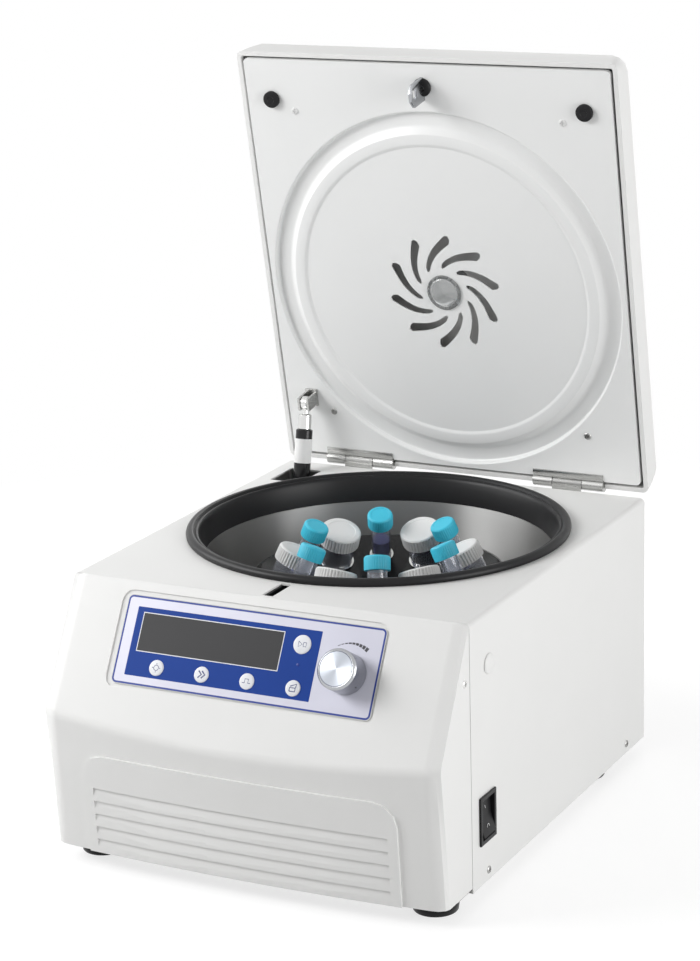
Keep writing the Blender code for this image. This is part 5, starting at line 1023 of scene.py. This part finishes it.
def makeDial(d, spot):
    # Graduated dashes round the knob that grow from a hair line to a bold mark
    dashes = []
    span = (d["end"] - d["start"]) / d["marks"]
    for n in range(d["marks"]):
        share = (n + 0.5) / d["marks"]
        width = d["thin"] + (d["thick"] - d["thin"]) * share ** 1.5
        begin = d["start"] + span * n
        stop = begin + span * 0.8
        corners = ringPoints(d["radius"] - width / 2, begin, stop, 3)
        corners += ringPoints(d["radius"] + width / 2, stop, begin, 3)
        dashes.append(flatShape("dash", corners, 0.00012))
    piece = joined("dialMarks", dashes)
    outward(piece)
    settle(piece, panelFrame @ move(spot[0], -spot[1], -0.00015))
    dress(piece, "knobMark", "case", "overlay_blue")


makeDial(dialLook, knobLook["spot"])

lamp = ringStack("lampLens", [(0.0001, -0.00002), (0.0009, -0.0001), (0.0013, -0.0003), (0.0013, -0.0120),
                              (0.0001, -0.0120)], 24)
settle(smooth(lamp, 50), panelFrame @ move(0.0408, -0.0475, 0.0003))
dress(lamp, "panelLine", "case", "window_clear", "status_lamp")

# Marks on the rocker: off below, on above
rockerMarks = dict(size=0.0021, width=0.0006, face=0.00407, height=0.0085, lean=7.1)


def makeRockerMarks(p):
    size = p["size"]
    off = wire("rockerOff", [ringPoints(size, steps=20)], p["width"], 0.3)
    on = wire("rockerOn", [[(0, -size), (0, size)]], p["width"], 0.3)
    for mark, side in ((off, -1), (on, 1)):
        spot = move(p["face"], 0, side * p["height"]) \
            @ spun(90 - side * p["lean"], "Y") \
            @ spun(90, "Z")
        dress(settle(mark, rockerFrame @ spot), "inkWhite", "switch_rocker", "key_white")


makeRockerMarks(rockerMarks)

# Pins in the inlet, a little larger than the solid's own so that they cover them
pinLook = dict(wide=0.00108, tall=0.00208, low=-0.0159, high=-0.0039)
pins = []
for x, y in ((-0.007, -0.002), (0, 0.002), (0.007, -0.002)):
    low = (x - pinLook["wide"], y - pinLook["tall"], pinLook["low"])
    high = (x + pinLook["wide"], y + pinLook["tall"], pinLook["high"])
    pins.append(softEdges(block("pin", low, high), 0.0004))
dress(settle(joined("inletPins", pins), inletFrame), "brassPin", "case", "plated_steel")

footRings = [(0.006, -0.006), (0.006, -0.0100), (0.0160, -0.0100), (0.0170, -0.0097), (0.0177, -0.0088),
             (0.0188, -0.0012), (0.0183, -0.0003), (0.0004, -0.0003), (0.0004, -0.006)]
foot = smooth(ringStack("foot", footRings, 64, closed=True), 40)
for end, y in (("front", -0.379), ("rear", -0.079)):
    for side, x in (("left", -0.148), ("right", 0.148)):
        one = settle(twin(foot, f"footPad_{end}_{side}"), caseFrame @ move(x, y, 0))
        dress(one, "blackRubber", "case", "rubber", f"foot_{end}_{side}")
bpy.data.objects.remove(foot)
print("panel, switch, inlet and feet made")

# Floor, lights, camera

stageLook = dict(size=12, sky=0.33, back=1.0, near=0.35, far=1.1, share=0.45, glow=1.62)
bpy.ops.mesh.primitive_plane_add(size=stageLook["size"], location=(0, 0, 0))
floor = bpy.context.object
floor.name = "floor"
floor.data.materials.append(mats["paleFloor"])


def backdropRays(tree):
    # 1 where the camera, a reflection or a clear piece looks at the backdrop, 0 where it only lights the object
    path = addNode(tree, "ShaderNodeLightPath")
    seen = path.outputs["Is Camera Ray"]
    for kind in ("Is Glossy Ray", "Is Transmission Ray"):
        either = addNode(tree, "ShaderNodeMath", operation="MAXIMUM")
        link(tree, seen, either.inputs[0])
        link(tree, path.outputs[kind], either.inputs[1])
        seen = either.outputs["Value"]
    return seen


def floorGlow(material, s):
    # Fades the floor into the white backdrop a little way out, and keeps the shadow under the object
    tree = material.node_tree
    coords = addNode(tree, "ShaderNodeTexCoord")
    reach = addNode(tree, "ShaderNodeVectorMath", operation="LENGTH")
    link(tree, coords.outputs["Object"], reach.inputs[0])
    ramps = []
    for low in (s["share"], s["glow"]):
        ramp = addNode(tree, "ShaderNodeMapRange",
                       **{"From Min": s["near"], "From Max": s["far"], "To Min": low, "To Max": 1})
        link(tree, reach.outputs["Value"], ramp.inputs["Value"])
        ramps.append(ramp.outputs["Result"])
    share, strength = ramps
    glow = addNode(tree, "ShaderNodeEmission")
    link(tree, strength, glow.inputs["Strength"])
    part = addNode(tree, "ShaderNodeMath", operation="MULTIPLY")
    link(tree, share, part.inputs[0])
    link(tree, backdropRays(tree), part.inputs[1])
    mix = addNode(tree, "ShaderNodeMixShader")
    link(tree, part.outputs["Value"], mix.inputs["Fac"])
    link(tree, tree.nodes["Principled BSDF"].outputs["BSDF"], mix.inputs[1])
    link(tree, glow.outputs["Emission"], mix.inputs[2])
    link(tree, mix.outputs["Shader"], tree.nodes["Material Output"].inputs["Surface"])


floorGlow(mats["paleFloor"], stageLook)

world = bpy.data.worlds.new("studio")
bpy.context.scene.world = world
world.use_nodes = True
sky = world.node_tree
background = sky.nodes["Background"]
background.inputs["Color"].default_value = (1, 1, 1, 1)
level = addNode(sky, "ShaderNodeMapRange", **{"To Min": stageLook["sky"], "To Max": stageLook["back"]})
link(sky, backdropRays(sky), level.inputs["Value"])
link(sky, level.outputs["Result"], background.inputs["Strength"])

lamps = {
    "leftSoftbox": dict(spot=(-1.5, -1.2, 1.4), size=0.9, power=25),
    "leftSideSoftbox": dict(spot=(-1.6, -0.3, 1.0), size=1.2, power=17),
    "rightSoftbox": dict(spot=(2.0, -0.3, 0.6), size=1.2, power=23),
    "rearSoftbox": dict(spot=(-0.3, 2.2, 1.2), size=1.4, power=9),
}
aim = Vector((0, 0, 0.25))
for name, lamp in lamps.items():
    light = bpy.data.lights.new(name, "AREA")
    light.shape = "SQUARE"
    light.size = lamp["size"]
    light.energy = lamp["power"]
    holder = placed(name, light)
    holder.location = lamp["spot"]
    holder.rotation_euler = (aim - Vector(lamp["spot"])).to_track_quat("-Z", "Y").to_euler()

cameraLook = dict(spot=(0.980463, -1.931638, 0.8817), yaw=27.144, pitch=15.591, roll=-1.533, lens=103.165)
camera = bpy.data.cameras.new("camera")
camera.lens = cameraLook["lens"]
camera.sensor_width = 36
camera.clip_end = 50
eye = placed("camera", camera)
eye.matrix_world = Matrix.Translation(cameraLook["spot"]) \
    @ spun(cameraLook["yaw"], "Z") \
    @ spun(90 - cameraLook["pitch"], "X") \
    @ spun(cameraLook["roll"], "Z")
bpy.context.scene.camera = eye
bpy.context.scene.view_settings.view_transform = "Standard"
print("floor, lights and camera set")
